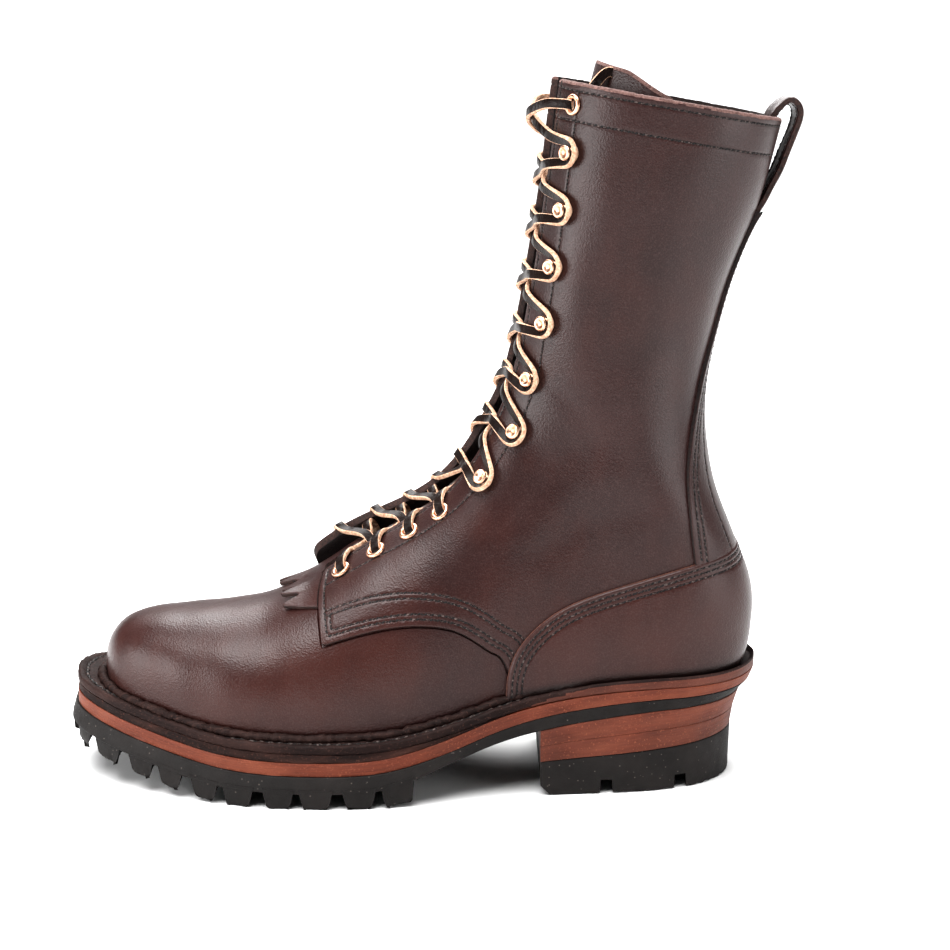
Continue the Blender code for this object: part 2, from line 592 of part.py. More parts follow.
def build_overlays(mats, sole_space):
    """Counter round the heel and backstay above it, cut from shells of the last's form."""
    counter_line = rounded_edge(COUNTER_EDGE, 2)
    closing = [(FAR_BACK, counter_line[-1][1]), (FAR_BACK, counter_line[0][1])]
    counter = shell("counter", OVERLAY_IN, OVERLAY_OUT, mats["leather"])
    boolean(counter, "INTERSECT", side_prism("counter_outline", counter_line, closing, -WIDE_OUT, WIDE_OUT))
    boolean(counter, "DIFFERENCE", sole_space)

    backstay = shell("backstay", OVERLAY_IN, OVERLAY_OUT, mats["leather"])
    right = [(half, z) for z, half in rounded_edge(BACKSTAY, 1)]
    outline = right + [(-half, z) for half, z in reversed(right)]
    bm = bmesh.new()
    front = [bm.verts.new(place(BACKSTAY_FRONT_X, y, z)) for y, z in outline]
    back = [bm.verts.new(place(FAR_BACK, y, z)) for y, z in outline]
    bridge(bm, front, back)
    boolean(backstay, "INTERSECT", add_object("backstay_outline", bm))
    raised = [(x, z + BACKSTAY_LIFT) for x, z in counter_line]
    boolean(backstay, "DIFFERENCE", side_prism("counter_clearance", raised, closing, -WIDE_OUT, WIDE_OUT))


def build_tongue(mats):
    """Open sheet under the throat, leaning back towards its top, thickened inwards."""
    first, last = TONGUE[0][0], TONGUE[-1][0]
    bm = bmesh.new()
    grid = []
    for i in range(TONGUE_ROWS + 1):
        line = []
        for j in range(TONGUE_COLUMNS + 1):
            spread = 2 * j / TONGUE_COLUMNS - 1
            u = first + (last - first - TONGUE_SHOULDER * spread * spread) * i / TONGUE_ROWS
            half, lean = column_at(TONGUE, u, 1), column_at(TONGUE, u, 2)
            point, normal = ridge_point(u, half * spread + 0.001)
            back = section_frame(u)[2].normalized()
            line.append(bm.verts.new(place(*(point - normal * TONGUE_DEPTH - back * lean))))
        grid.append(line)
    for low, high in zip(grid, grid[1:]):
        for j in range(TONGUE_COLUMNS):
            bm.faces.new((low[j], low[j + 1], high[j + 1], high[j]))
    tongue = add_object("tongue", bm, mats["leather"])
    thick = tongue.modifiers.new("wall", "SOLIDIFY")
    thick.thickness = TONGUE_WALL * MM
    thick.offset = TONGUE_WALL_SIDE


def build_kiltie(mats):
    """Fringed tongue lying on the vamp in front of the quarters and in the throat."""
    kiltie = shell("kiltie", GAP, GAP + KILTIE_WALL, mats["leather"])
    outline = list(KILTIE_ROOT)
    width = 2 * KILTIE_HALF / KILTIE_STRIPS

    def tip_x(y):
        return KILTIE_TIP_X - KILTIE_TIP_SWEEP * (y + KILTIE_HALF) / 2

    for strip in range(KILTIE_STRIPS):
        y = -KILTIE_HALF + strip * width
        outline.append((tip_x(y), y + KILTIE_CUT_HALF))
        outline.append((tip_x(y + width), y + width - KILTIE_CUT_HALF))
        if strip < KILTIE_STRIPS - 1:
            outline.append((tip_x(y + width) + KILTIE_CUT_LONG, y + width))
    bm = bmesh.new()
    bridge(bm, [bm.verts.new(place(x, y, 0.0)) for x, y in outline],
           [bm.verts.new(place(x, y, FAR_UP)) for x, y in outline])
    boolean(kiltie, "INTERSECT", add_object("kiltie_outline", bm))
    sides = (("outer", -WIDE_OUT, -KILTIE_THROAT_HALF), ("inner", KILTIE_THROAT_HALF, WIDE_OUT))
    for side, y_from, y_to in sides:
        line = quarter_line(side, KILTIE_CLEAR)
        closing = [(FAR_BACK, line[-1][1]), (FAR_BACK, FAR_UP), (line[0][0], FAR_UP)]
        boolean(kiltie, "DIFFERENCE", side_prism(side + "_kiltie_edge", line, closing, y_from, y_to))
    underside = [(FAR_FRONT, KILTIE_LOW_Z), (FAR_BACK, KILTIE_LOW_Z)]
    closing = [(FAR_BACK, BELOW_FLOOR), (FAR_FRONT, BELOW_FLOOR)]
    boolean(kiltie, "DIFFERENCE", side_prism("kiltie_underside", underside, closing, -WIDE_OUT, WIDE_OUT))


def build_loop(mats):
    """Pull loop: a strap bent over the back of the collar."""
    half = LOOP_THICK / 2
    path = rounded_edge(LOOP_PATH, 2)
    left, right = [], []
    for i, here in enumerate(path):
        run = Vector(path[min(i + 1, len(path) - 1)]) - Vector(path[max(i - 1, 0)])
        across = Vector((-run.y, run.x)).normalized() * half
        left.append(tuple(Vector(here) + across))
        right.append(tuple(Vector(here) - across))
    side_prism("pull_loop", left, list(reversed(right)), -LOOP_WIDTH / 2, LOOP_WIDTH / 2, mats["leather"])


def stand_on(obj, point, normal, height):
    """Put an object on the quarter with its own Z along the surface normal."""
    obj.location = place(*(point + normal * height))
    obj.rotation_euler = normal.to_track_quat("Z", "Y").to_euler()


def eyelet(name, point, normal, mat):
    bpy.ops.mesh.primitive_torus_add(major_radius=EYELET_MIDDLE * MM, minor_radius=EYELET_THICK * MM,
                                     major_segments=RING_FACETS, minor_segments=4)
    ring = bpy.context.object
    ring.name = name
    ring.data.materials.append(mat)
    ring.users_collection[0].objects.unlink(ring)
    PARTS.objects.link(ring)
    stand_on(ring, point, normal, FITTING_SEAT + EYELET_THICK)


def hook(name, point, normal, mat):
    """Speed hook: a foot, a neck for the lace and a domed cap, turned from one profile."""
    bm = bmesh.new()
    rings = []
    for radius, height in HOOK_PROFILE:
        turn = [2 * math.pi * i / HOOK_FACETS for i in range(HOOK_FACETS)]
        rings.append([bm.verts.new((radius * math.cos(a) * MM, radius * math.sin(a) * MM, height * MM))
                      for a in turn])
    for low, high in zip(rings, rings[1:]):
        for i in range(HOOK_FACETS):
            j = (i + 1) % HOOK_FACETS
            bm.faces.new((low[i], low[j], high[j], high[i]))
    bm.faces.new(rings[0])
    bm.faces.new(rings[-1])
    stand_on(add_object(name, bm, mat), point, normal, FITTING_SEAT)


def build_fittings(mats):
    for side, sign in (("outer", -1), ("inner", 1)):
        for i, (u, across) in enumerate(EYELETS):
            eyelet(f"eyelet_{side}_{i + 1}", *ridge_point(u, sign * across), mats["copper"])
        for i, (u, across) in enumerate(HOOKS):
            hook(f"hook_{side}_{i + 1}", *ridge_point(u, sign * across), mats["copper"])


def lace_turn(u, across, radius, height, angles):
    """Points of a lace that comes from below, turns round a fitting's far side and leaves upwards."""
    centre, normal = ridge_point(u, across)
    up = (ridge_point(u + 0.1, across)[0] - centre).normalized()
    out = up.cross(normal).normalized()
    if out.y * across < 0:
        out.negate()
    base = centre + normal * height
    turn = [math.radians(angle) for angle in angles]
    return [base + (out * math.cos(a) + up * math.sin(a)) * radius for a in turn]


def lace_path(first_sign):
    """Zigzag up the throat, from side to side, round every fitting."""
    in_eyelet = (EYELET_LOOP, EYELET_LACE_HIGH, EYELET_TURN)
    round_hook = (HOOK_LOOP, HOOK_LACE_HIGH, HOOK_TURN)
    stops = [(*stop, in_eyelet) for stop in EYELETS[:LOW_EYELETS]]
    stops += [(*stop, round_hook) for stop in HOOKS]
    stops += [(*stop, in_eyelet) for stop in EYELETS[LOW_EYELETS:]]
    points = []
    for i, (u, across, turn) in enumerate(stops):
        sign = first_sign * (-1) ** i
        points += lace_turn(u, sign * across, *turn)
        if i < len(stops) - 1:
            after = stops[i + 1]
            for part, y in ((0.35, 0.5 * across * sign), (0.5, 0.0), (0.65, -0.5 * after[1] * sign)):
                point, normal = ridge_point(u + (after[0] - u) * part, y + 0.001)
                points.append(point + normal * LACE_HIGH)
    return points[1:-1]


def cord(name, points, mat=None):
    """Mesh tube along layout points."""
    curve = bpy.data.curves.new(name, "CURVE")
    curve.dimensions = "3D"
    curve.bevel_depth = LACE_RADIUS * MM
    curve.bevel_resolution = 0
    curve.use_fill_caps = True
    spline = curve.splines.new("POLY")
    spline.points.add(len(points) - 1)
    for target, point in zip(spline.points, points):
        target.co = (*place(*point), 1.0)
    guide = bpy.data.objects.new(name + "_guide", curve)
    FORMS.objects.link(guide)
    bpy.context.view_layer.update()
    mesh = bpy.data.meshes.new_from_object(guide.evaluated_get(bpy.context.evaluated_depsgraph_get()))
    bpy.data.objects.remove(guide)
    bm = bmesh.new()
    bm.from_mesh(mesh)
    bpy.data.meshes.remove(mesh)
    bmesh.ops.remove_doubles(bm, verts=bm.verts, dist=0.00001)
    return add_object(name, bm, mat)


def build_laces(mats):
    """Two zigzags that start from one bar at the lowest eyelets and join where they cross."""
    outer, inner = lace_path(-1), lace_path(1)
    bar, normal = ridge_point(EYELETS[0][0] - 0.15, 0.001)
    laces = cord("laces", outer, mats["lace"])
    boolean(laces, "UNION", cord("second_lace", [outer[1], bar + normal * EYELET_BAR_HIGH] + inner[1:]))


def main():
    mats = {
        "leather": material("leather", 0.42),
        "edge": material("edge", 0.7),
        "stack": material("stack", 0.5),
        "rubber": material("rubber", 0.75),
        "copper": material("copper", 0.3, 1.0),
        "lace": material("lace", 0.6),
    }
    build_sole(mats)
    sole_space = slab("sole_space", sole_rings(GAP), BELOW_FLOOR)
    build_upper(mats, sole_space)
    build_insole(mats, sole_space)
    build_tongue(mats)
    build_kiltie(mats)
    build_overlays(mats, sole_space)
    build_loop(mats)
    build_fittings(mats)
    build_laces(mats)


for old in list(bpy.data.objects):
    bpy.data.objects.remove(old)
PARTS = collection("boot")
FORMS = collection("cutting_forms")
main()
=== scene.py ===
"""Looks of a left lace-up work boot: leather panels, stitching, sole layers, metal fittings, leather lace.

Lengths are millimetres in the boot's own layout, as in the part's source: x along the foot with the toe at
-X, y across it with the outer side at -Y, and z up from the floor. to_scene() moves them into the frame, in
metres.
"""
import math
import random

import bmesh
import bpy
import mathutils
import numpy as np
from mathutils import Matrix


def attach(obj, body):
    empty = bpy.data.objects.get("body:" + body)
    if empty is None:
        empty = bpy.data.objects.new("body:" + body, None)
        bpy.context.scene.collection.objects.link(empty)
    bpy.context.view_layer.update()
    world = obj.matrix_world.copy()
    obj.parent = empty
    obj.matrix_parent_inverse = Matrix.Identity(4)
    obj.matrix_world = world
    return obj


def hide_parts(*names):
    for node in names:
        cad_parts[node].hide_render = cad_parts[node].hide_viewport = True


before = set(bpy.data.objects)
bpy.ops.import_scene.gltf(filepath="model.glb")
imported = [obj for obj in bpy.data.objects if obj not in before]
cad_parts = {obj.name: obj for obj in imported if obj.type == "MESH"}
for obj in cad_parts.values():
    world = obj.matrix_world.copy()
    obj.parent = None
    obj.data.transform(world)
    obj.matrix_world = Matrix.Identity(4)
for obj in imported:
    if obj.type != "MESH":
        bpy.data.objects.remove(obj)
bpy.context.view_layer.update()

MM = 0.001
ORIGIN_SHIFT = np.array((22.05, 3.9, 0.0))
RANDOM = random.Random(7)

# Fan sections of the upper, toe to top. seat: lowest or rearmost point. top: ridge or front point. outer,
# inner: widest y on each side. mid: y of the ridge. wide: height of the widest point as a part of the
# section. foot: width at the seat as a part of the widest. round: roundness of the ridge side.
SECTIONS = [
    # seat_x, seat_z, top_x, top_z, outer, inner, mid, wide, foot, round
    (-169.3, 36.0, -169.3, 56.0, 1.0, 13.0, 7.0, 0.40, 0.90, 2.6),
    (-167.0, 34.0, -167.0, 61.5, -9.0, 20.5, 6.0, 0.38, 0.92, 2.6),
    (-162.0, 31.5, -162.0, 67.0, -18.0, 28.0, 5.0, 0.38, 0.93, 2.6),
    (-154.0, 28.5, -154.0, 70.8, -25.5, 34.0, 4.0, 0.38, 0.94, 2.6),
    (-143.0, 25.5, -143.0, 73.2, -32.5, 38.5, 3.0, 0.38, 0.95, 2.6),
    (-129.0, 23.0, -129.0, 74.8, -39.5, 41.5, 2.5, 0.38, 0.95, 2.5),
    (-113.0, 21.5, -113.0, 76.4, -45.5, 43.5, 2.0, 0.36, 0.95, 2.4),
    (-97.0, 21.0, -97.0, 79.2, -49.5, 43.5, 2.0, 0.34, 0.95, 2.3),
    (-82.0, 21.0, -83.0, 84.8, -51.5, 42.5, 1.5, 0.32, 0.95, 2.2),
    (-67.0, 21.0, -69.0, 93.2, -52.0, 40.5, 1.0, 0.30, 0.95, 2.1),
    (-52.0, 21.2, -55.0, 102.8, -51.0, 37.5, 0.5, 0.28, 0.95, 2.1),
    (-37.0, 22.0, -41.0, 111.6, -49.5, 34.5, 0.0, 0.27, 0.94, 2.1),
    (-22.0, 23.5, -27.0, 120.5, -47.0, 32.0, 0.0, 0.26, 0.93, 2.1),
    (-7.0, 26.0, -14.0, 130.0, -44.0, 31.0, 0.0, 0.26, 0.92, 2.2),
    (9.0, 31.5, -5.0, 139.5, -41.0, 31.0, 0.0, 0.27, 0.92, 2.3),
    (26.0, 37.0, 1.0, 148.5, -38.5, 32.0, 0.0, 0.29, 0.92, 2.4),
    (44.0, 41.0, 5.3, 157.0, -37.0, 33.0, 0.0, 0.32, 0.92, 2.4),
    (63.0, 43.5, 8.5, 165.0, -36.0, 34.0, 0.0, 0.35, 0.92, 2.4),
    (82.0, 45.0, 11.0, 172.0, -35.5, 34.5, 0.0, 0.38, 0.92, 2.4),
    (99.0, 46.0, 13.0, 178.5, -35.5, 34.8, 0.0, 0.41, 0.84, 2.4),
    (112.0, 48.5, 14.5, 184.0, -36.0, 35.2, 0.0, 0.44, 0.58, 2.4),
    (119.5, 59.0, 15.8, 189.0, -36.3, 35.6, 0.0, 0.46, 0.30, 2.4),
    (121.8, 76.0, 17.0, 194.0, -36.6, 36.0, 0.0, 0.48, 0.14, 2.4),
    (119.2, 95.0, 18.2, 199.0, -36.9, 36.2, 0.0, 0.49, 0.12, 2.3),
    (112.8, 111.5, 19.2, 204.0, -37.1, 36.4, 0.0, 0.50, 0.12, 2.3),
    (105.8, 129.0, 20.3, 209.5, -37.4, 36.6, 0.0, 0.50, 0.12, 2.3),
    (101.2, 148.0, 21.5, 216.0, -37.8, 37.0, 0.0, 0.50, 0.12, 2.3),
    (99.3, 167.0, 23.0, 224.0, -38.3, 37.6, 0.0, 0.50, 0.12, 2.3),
    (100.5, 187.0, 24.7, 234.0, -39.2, 38.5, 0.0, 0.50, 0.12, 2.3),
    (104.4, 206.0, 26.5, 246.0, -40.6, 39.8, 0.0, 0.50, 0.12, 2.3),
    (109.6, 225.0, 28.3, 259.0, -42.4, 41.4, 0.0, 0.50, 0.12, 2.3),
    (116.0, 243.0, 30.0, 272.0, -44.3, 43.2, 0.0, 0.50, 0.12, 2.3),
    (122.8, 261.0, 31.5, 285.0, -46.0, 45.0, 0.0, 0.50, 0.12, 2.3),
    (128.2, 280.0, 33.0, 299.0, -47.3, 46.4, 0.0, 0.50, 0.12, 2.3),
    (132.6, 299.0, 34.5, 314.0, -48.2, 47.4, 0.0, 0.50, 0.12, 2.3),
    (137.0, 318.0, 36.0, 330.0, -49.0, 48.2, 0.0, 0.50, 0.12, 2.3),
]
SEAT_X, SEAT_Z, TOP_X, TOP_Z, OUTER, INNER, MID, WIDE, FOOT, ROUND = range(10)
LAST_SECTION = len(SECTIONS) - 1
ROWS_PER_SECTION = 10
COLUMNS = 100             # cells from the ridge to the seat's middle
SMOOTHING = 3.5           # rows, along the boot
TOE_DOME = (-170.3, 39.0)  # x, z that the toe's front closes to
TOE_RINGS = (80, 62, 45, 30, 15)   # degrees

# Leather heights over the base form
UPPER_WALL = 1.7
QUARTER_HIGH = 1.5
BACKSTAY_HIGH = 3.4
COUNTER_HIGH = 3.8
TONGUE_DEPTH = 3.4
TONGUE_WALL = 1.8
KILTIE_HIGH = 1.9

COLLAR_FRONT = np.array((35.2, 313.4))
COLLAR_BACK = np.array((133.5, 296.0))
THROAT = [
    # section, outer, inner
    (9.2, 9.0, 8.5), (13.0, 10.0, 9.5), (17.0, 12.0, 11.5), (26.0, 15.5, 15.0), (34.6, 20.0, 19.5),
]
TONGUE = [
    # section, half width, lean
    (8.9, 19.0, 0.0), (13.0, 21.0, 0.0), (18.0, 23.0, 0.5), (26.0, 27.0, 2.0), (31.0, 33.0, 6.0),
    (34.5, 47.0, 14.0),
]
TONGUE_SHOULDER = 0.2

# Panel edges in the side view, x and z
QUARTER_FRONT = [(-57.0, 125.0), (-60.0, 108.0), (-66.0, 97.0), (-69.0, 86.0), (-66.7, 69.0)]
QUARTER_LOWER = [(-66.7, 69.0), (-52.0, 73.6), (-37.4, 76.8), (-22.5, 77.6), (-8.0, 75.0), (6.0, 66.0),
                 (14.0, 58.0), (24.0, 20.0)]
INNER_QUARTER_FORWARD = 2.5
INNER_FORWARD_OVER = 50.0
COUNTER_EDGE = [(12.5, 30.0), (13.4, 44.0), (14.4, 55.0), (18.4, 65.6), (28.5, 77.0), (42.7, 86.0),
                (67.5, 94.8), (94.0, 102.5), (118.0, 107.0), (140.0, 110.0)]
# The backstay's edge: its foot in the side view, then its half width at heights up the back
BACKSTAY_FOOT = [(97.8, 96.0), (96.4, 102.0), (93.9, 119.0), (92.1, 133.0), (91.7, 144.5), (93.0, 158.5)]
BACKSTAY = [(178.0, 18.5), (200.0, 13.5), (230.0, 11.5), (256.5, 10.5)]
BACKSTAY_TOP = 256.5

# Fringed tongue over the vamp, in plan
KILTIE_TIP_X = -84.2
KILTIE_TIP_SWEEP = 0.25
KILTIE_HALF = 28.5
KILTIE_STRIPS = 7
KILTIE_CUT_LONG = 9.0
KILTIE_CUT_HALF = 3.4
KILTIE_ROOT = [(-50.0, 28.0), (-50.0, 7.0), (-26.0, 7.0), (-26.0, -4.0), (-50.0, -4.0), (-50.0, -42.0)]
KILTIE_THROAT = (-4.0, 7.0)
KILTIE_SINK = 3.2         # its end lies this much lower, on the tongue
KILTIE_SINK_X = (-53.0, -46.0)
KILTIE_CLEAR = 0.3        # to the quarters' edges
KILTIE_LOW_Z = 60.0       # nothing of it lies lower
KILTIE_COLUMNS = 60       # it lies within this many columns of the ridge
KILTIE_CURL = (1.5, 0.9, 2.3)      # rise of the tips: its mean, its change and the rate of change by strip
KILTIE_CURL_FROM = (14.0, -4.0)    # behind the tips
KILTIE_UNDER = 0.15
KILTIE_TIP_THICKER = 0.1

# Plan outline of the midsole, toe to heel rim
OUTLINE = [
    # x, outer, inner
    (-183.5, 6.0, 15.0), (-181.5, -5.5, 26.0), (-176.5, -15.0, 34.0), (-168.0, -24.0, 40.5),
    (-156.0, -32.8, 46.0), (-141.0, -40.8, 50.0), (-124.0, -48.6, 52.3), (-106.0, -55.2, 53.0),
    (-88.0, -59.2, 52.4), (-70.0, -60.8, 50.4), (-52.0, -60.4, 47.0), (-34.0, -58.2, 42.8),
    (-16.0, -54.6, 39.2), (2.0, -50.6, 37.0), (20.0, -46.8, 36.8), (40.0, -43.6, 38.0),
    (60.0, -42.0, 39.6), (80.0, -41.4, 40.2), (97.0, -39.4, 38.6), (110.0, -34.0, 33.6),
    (119.5, -25.0, 24.8), (125.5, -13.5, 13.4), (127.6, -4.0, 4.0),
]
# Heights of the sole's layers along the foot
LEVELS = [
    # x, welt top, midsole top, midsole bottom, outsole bottom, tread
    (-190.0, 47.5, 39.5, 33.5, 25.0, 17.0), (-168.0, 41.6, 33.6, 27.6, 19.6, 11.6),
    (-150.0, 37.2, 29.2, 23.2, 15.4, 7.6), (-130.0, 32.8, 24.8, 18.8, 11.0, 3.2),
    (-112.0, 29.8, 21.8, 15.8, 8.2, 0.5), (-92.0, 28.4, 20.4, 14.4, 7.2, 0.0),
    (-60.0, 28.0, 20.2, 14.2, 7.0, 0.0), (-42.0, 28.8, 21.2, 15.2, 8.0, 0.0),
    (-27.0, 31.0, 24.2, 18.2, 12.0, 3.0), (-10.0, 35.2, 29.4, 23.4, 18.0, 9.0),
    (10.0, 41.3, 36.8, 30.9, 25.4, 17.0),
    (28.0, 45.8, 41.6, 35.8, 29.8, 21.6), (50.0, 49.3, 45.2, 39.6, 33.6, 26.0),
    (75.0, 51.6, 47.6, 42.6, 36.8, 29.2), (96.0, 52.6, 48.6, 43.8, 38.0, 30.6),
    (130.0, 54.0, 50.0, 45.4, 39.6, 32.2),
]
WELT_TOP, MID_TOP, MID_BOTTOM, RUBBER_BOTTOM, TREAD = range(1, 6)
WELT_THICK = 4.0
SLIP_END_X = 14.0
BREAST_X = 29.0
TOP_LIFT_FRONT = 15.8
TOP_LIFT_SLOPE = 0.07
STACK_SPLIT = 0.5
TAPER_FROM_X = 55.0
TAPER_TO_X = 126.0
BACK_INSET = {"midsole": 1.6, "outsole_top": 2.0, "outsole_bottom": 6.5, "stack_mid": 9.0,
              "stack_bottom": 10.4, "floor": 11.0}
HEEL_NOTCH_X = (58.5, 92.0)
HEEL_NOTCH_WIDTHS = (5.0, 7.0)
HEEL_NOTCH_HIGH = 6.5
HEEL_NOTCH_DEEP = 17.0
HEEL_CHAMFER = (4.5, 5.0)  # worn front corner: length, height
LUG_END_X = -27.0
LUG_NOTCH_X = (-173.0, -157.0, -142.0, -127.5, -112.0, -95.0, -78.0, -60.0, -42.0)
LUG_ROOT = 2.0
LUG_BLOCK_DEPTH = 24.0
LUG_CENTRE_GAP = 6.0
LUG_FLARE = 3.0
FLARE_END_X = -5.0

# Fittings up each side of the throat: section and distance from the ridge
EYELETS = [(9.7, 20.5), (10.8, 20.3), (11.85, 19.5), (12.9, 19.9), (33.35, 31.5)]
HOOKS = [(15.2, 23.5), (18.15, 23.0), (21.9, 23.2), (26.2, 27.8), (28.45, 29.2), (30.25, 31.5), (32.0, 32.3)]
LOW_EYELETS = 4

# Pull loop: centre line of the strap in the side view, outside foot to inside foot
LOOP_PATH = [(122.4, 253.6), (125.4, 259.6), (131.4, 271.0), (136.8, 284.0), (140.6, 295.0), (140.2, 301.0),
             (136.6, 303.9), (132.8, 301.9), (129.3, 297.4), (127.6, 290.5), (126.2, 284.0)]
LOOP_THICK = 3.0
LOOP_WIDTH = 20.0


def to_scene(points):
    """Scene metres from layout millimetres."""
    return (np.asarray(points, float) + ORIGIN_SHIFT) * MM


def unit(vectors):
    vectors = np.asarray(vectors, float)
    return vectors / np.maximum(np.linalg.norm(vectors, axis=-1, keepdims=True), 1e-9)


def ease(values, start, end):
    """Smooth step from 0 at start to 1 at end."""
    t = np.clip((np.asarray(values, float) - start) / (end - start), 0.0, 1.0)
    return t * t * (3 - 2 * t)


def blend(rows, stations):
    """Rows of a table at stations, on smooth curves through the rows."""
    rows, stations = np.asarray(rows, float), np.asarray(stations, float)
    last = len(rows) - 1
    i = np.clip(np.floor(stations).astype(int), 0, last - 1)
    t = (stations - i)[..., None]
    a, b, c, d = rows[np.maximum(i - 1, 0)], rows[i], rows[i + 1], rows[np.minimum(i + 2, last)]
    return b + 0.5 * t * (c - a + t * (2 * a - 5 * b + 4 * c - d + t * (3 * (b - c) + d - a)))


def curve(points, per_span=6):
    """Smooth line through points."""
    return blend(points, np.linspace(0, len(points) - 1, (len(points) - 1) * per_span + 1))


def column_at(rows, values, column):
    """One column of a table at values of its first column."""
    dense = blend(rows, np.linspace(0, len(rows) - 1, 50 * len(rows)))
    return np.interp(values, dense[:, 0], dense[:, column])


def station_at(rows, value):
    stations = np.linspace(0, len(rows) - 1, 50 * len(rows))
    return float(np.interp(value, blend(rows, stations)[:, 0], stations))


def level(x, column):
    """Height of one of the sole's levels at x."""
    return column_at(LEVELS, x, column)


def lengths_along(points):
    steps = np.linalg.norm(np.diff(points, axis=0), axis=1)
    return np.concatenate(([0.0], np.cumsum(steps)))


def read_along(run, numbers, at):
    """Rows of numbers, known at lengths along a line, at other lengths."""
    return np.stack([np.interp(at, run, column) for column in numbers.T], axis=1)


def evenly(points, count):
    """The same line through count points, evenly spaced."""
    run = lengths_along(points)
    return read_along(run, points, np.linspace(0, run[-1], count))


def waves(points, shortest, longest, seed, count=14):
    """Soft irregular values around 0, about -1 to 1, that vary over the given wavelengths."""
    draw = np.random.RandomState(seed)
    total = np.zeros(points.shape[:-1])
    for _ in range(count):
        direction = unit(draw.normal(size=3))
        wavelength = draw.uniform(shortest, longest)
        total += np.sin(points @ direction * 2 * math.pi / wavelength + draw.uniform(0, 2 * math.pi))
    return total / math.sqrt(count)


def line_distance(points, line):
    """Shortest distance from each point to a line of points."""
    nearest = np.full(len(points), np.inf)
    for start, step in zip(line[:-1], np.diff(line, axis=0)):
        part = np.clip((points - start) @ step / (step @ step), 0.0, 1.0)
        nearest = np.minimum(nearest, np.linalg.norm(points - start - part[:, None] * step, axis=1))
    return nearest


def inside(points, polygon):
    """Which flat points lie in a polygon."""
    across, up = points.T
    hit = np.zeros(len(points), bool)
    for (x0, z0), (x1, z1) in zip(polygon, np.roll(polygon, -1, axis=0)):
        if z0 != z1:
            hit ^= ((z0 > up) != (z1 > up)) & (across < (x1 - x0) * (up - z0) / (z1 - z0) + x0)
    return hit


def rings_joined(rings, sides, start=0, capped=True):
    """Polygons of a skin over rings of points in a row, numbered from start."""
    polygons = []
    for near in range(start, start + (rings - 1) * sides, sides):
        for i in range(sides):
            j = (i + 1) % sides
            polygons.append([near + i, near + j, near + sides + j, near + sides + i])
    if capped:
        last = start + (rings - 1) * sides
        polygons.append(list(range(start, start + sides))[::-1])
        polygons.append(list(range(last, last + sides)))
    return polygons


def grid_cells(rows, columns):
    """Corner numbers of a grid's cells."""
    index = np.arange(rows * columns).reshape(rows, columns)
    corners = [index[:-1, :-1], index[:-1, 1:], index[1:, 1:], index[1:, :-1]]
    return np.stack(corners, axis=-1).reshape(-1, 4)


# Base form

def section_points(values, side_column, heights, parts):
    """Points of sections at given heights and widths, as parts of each section."""
    seat = np.stack([values[:, SEAT_X], 0 * values[:, 0], values[:, SEAT_Z]], axis=1)
    top = np.stack([values[:, TOP_X], 0 * values[:, 0], values[:, TOP_Z]], axis=1)
    points = seat[:, None] + (top - seat)[:, None] * heights[..., None]
    reach = values[:, side_column] - values[:, MID]
    points[..., 1] += values[:, MID, None] + reach[:, None] * parts
    return points


def half_form(values, side_column):
    """Rows of points from the ridge down one side to the seat's middle, evenly spaced in each row."""
    power = 2 / values[:, ROUND, None]
    wide, foot = values[:, WIDE, None], values[:, FOOT, None]
    down = np.linspace(math.pi / 2, 0, 60)[None]
    up = np.linspace(0, math.pi / 2, 24)[None, 1:]
    flat = np.linspace(1, 0, 8)[None, 1:]
    heights = [wide + (1 - wide) * np.sin(down) ** power, wide * (1 - np.sin(up)), flat * wide * 0]
    parts = [np.clip(np.cos(down), 0, 1) ** power, foot + (1 - foot) * np.cos(up), foot * flat]
    rows = section_points(values, side_column, np.concatenate(heights, axis=1), np.concatenate(parts, axis=1))
    return np.stack([evenly(row, COLUMNS + 1) for row in rows])


def smoothed(values, steps):
    """Columns of a table eased along its rows; the first and last rows stay."""
    reach = int(3 * steps)
    weights = np.exp(-0.5 * (np.arange(-reach, reach + 1) / steps) ** 2)
    weights /= weights.sum()
    before = 2 * values[0] - values[reach:0:-1]
    after = 2 * values[-1] - values[-2:-reach - 2:-1]
    padded = np.concatenate([before, values, after])
    return np.stack([np.convolve(column, weights, "valid") for column in padded.T], axis=1)


def make_form():
    """Grid of the base form: rows from toe to top, columns from the outer seat over the ridge inward."""
    stations = np.arange(LAST_SECTION * ROWS_PER_SECTION + 1) / ROWS_PER_SECTION
    values = smoothed(blend(SECTIONS, stations), SMOOTHING)
    outer, inner = half_form(values, OUTER), half_form(values, INNER)
    place = np.concatenate([outer[:, ::-1], inner[:, 1:]], axis=1)
    dome, first = [], place[0]
    centre = np.array((TOE_DOME[0], values[0, MID], TOE_DOME[1]))
    for turn in np.radians(TOE_RINGS):
        ring = centre + (first - centre) * math.cos(turn)
        ring[:, 0] = first[:, 0] + (TOE_DOME[0] - first[:, 0]) * math.sin(turn)
        dome.append(ring)
    place = np.concatenate([np.stack(dome), place])
    stations = np.concatenate([np.linspace(-0.1, -0.02, len(dome)), stations])
    normal = unit(np.cross(np.gradient(place, axis=0), np.gradient(place, axis=1)))
    if normal[len(normal) // 2, COLUMNS, 0] > 0:
        normal = -normal
    steps = np.linalg.norm(np.diff(place, axis=1), axis=2)
    run = np.concatenate([np.zeros((len(place), 1)), np.cumsum(steps, axis=1)], axis=1)
    arc = np.abs(run - run[:, COLUMNS:COLUMNS + 1])
    station = np.broadcast_to(stations[:, None], arc.shape).copy()
    return {"place": place, "normal": normal, "arc": arc, "station": station}


FORM = make_form()
OUTER_HALF = slice(0, COLUMNS + 1)
INNER_HALF = slice(COLUMNS, 2 * COLUMNS + 1)


FIT_POINTS = 9                    # a place on the form is fitted to this many of its points


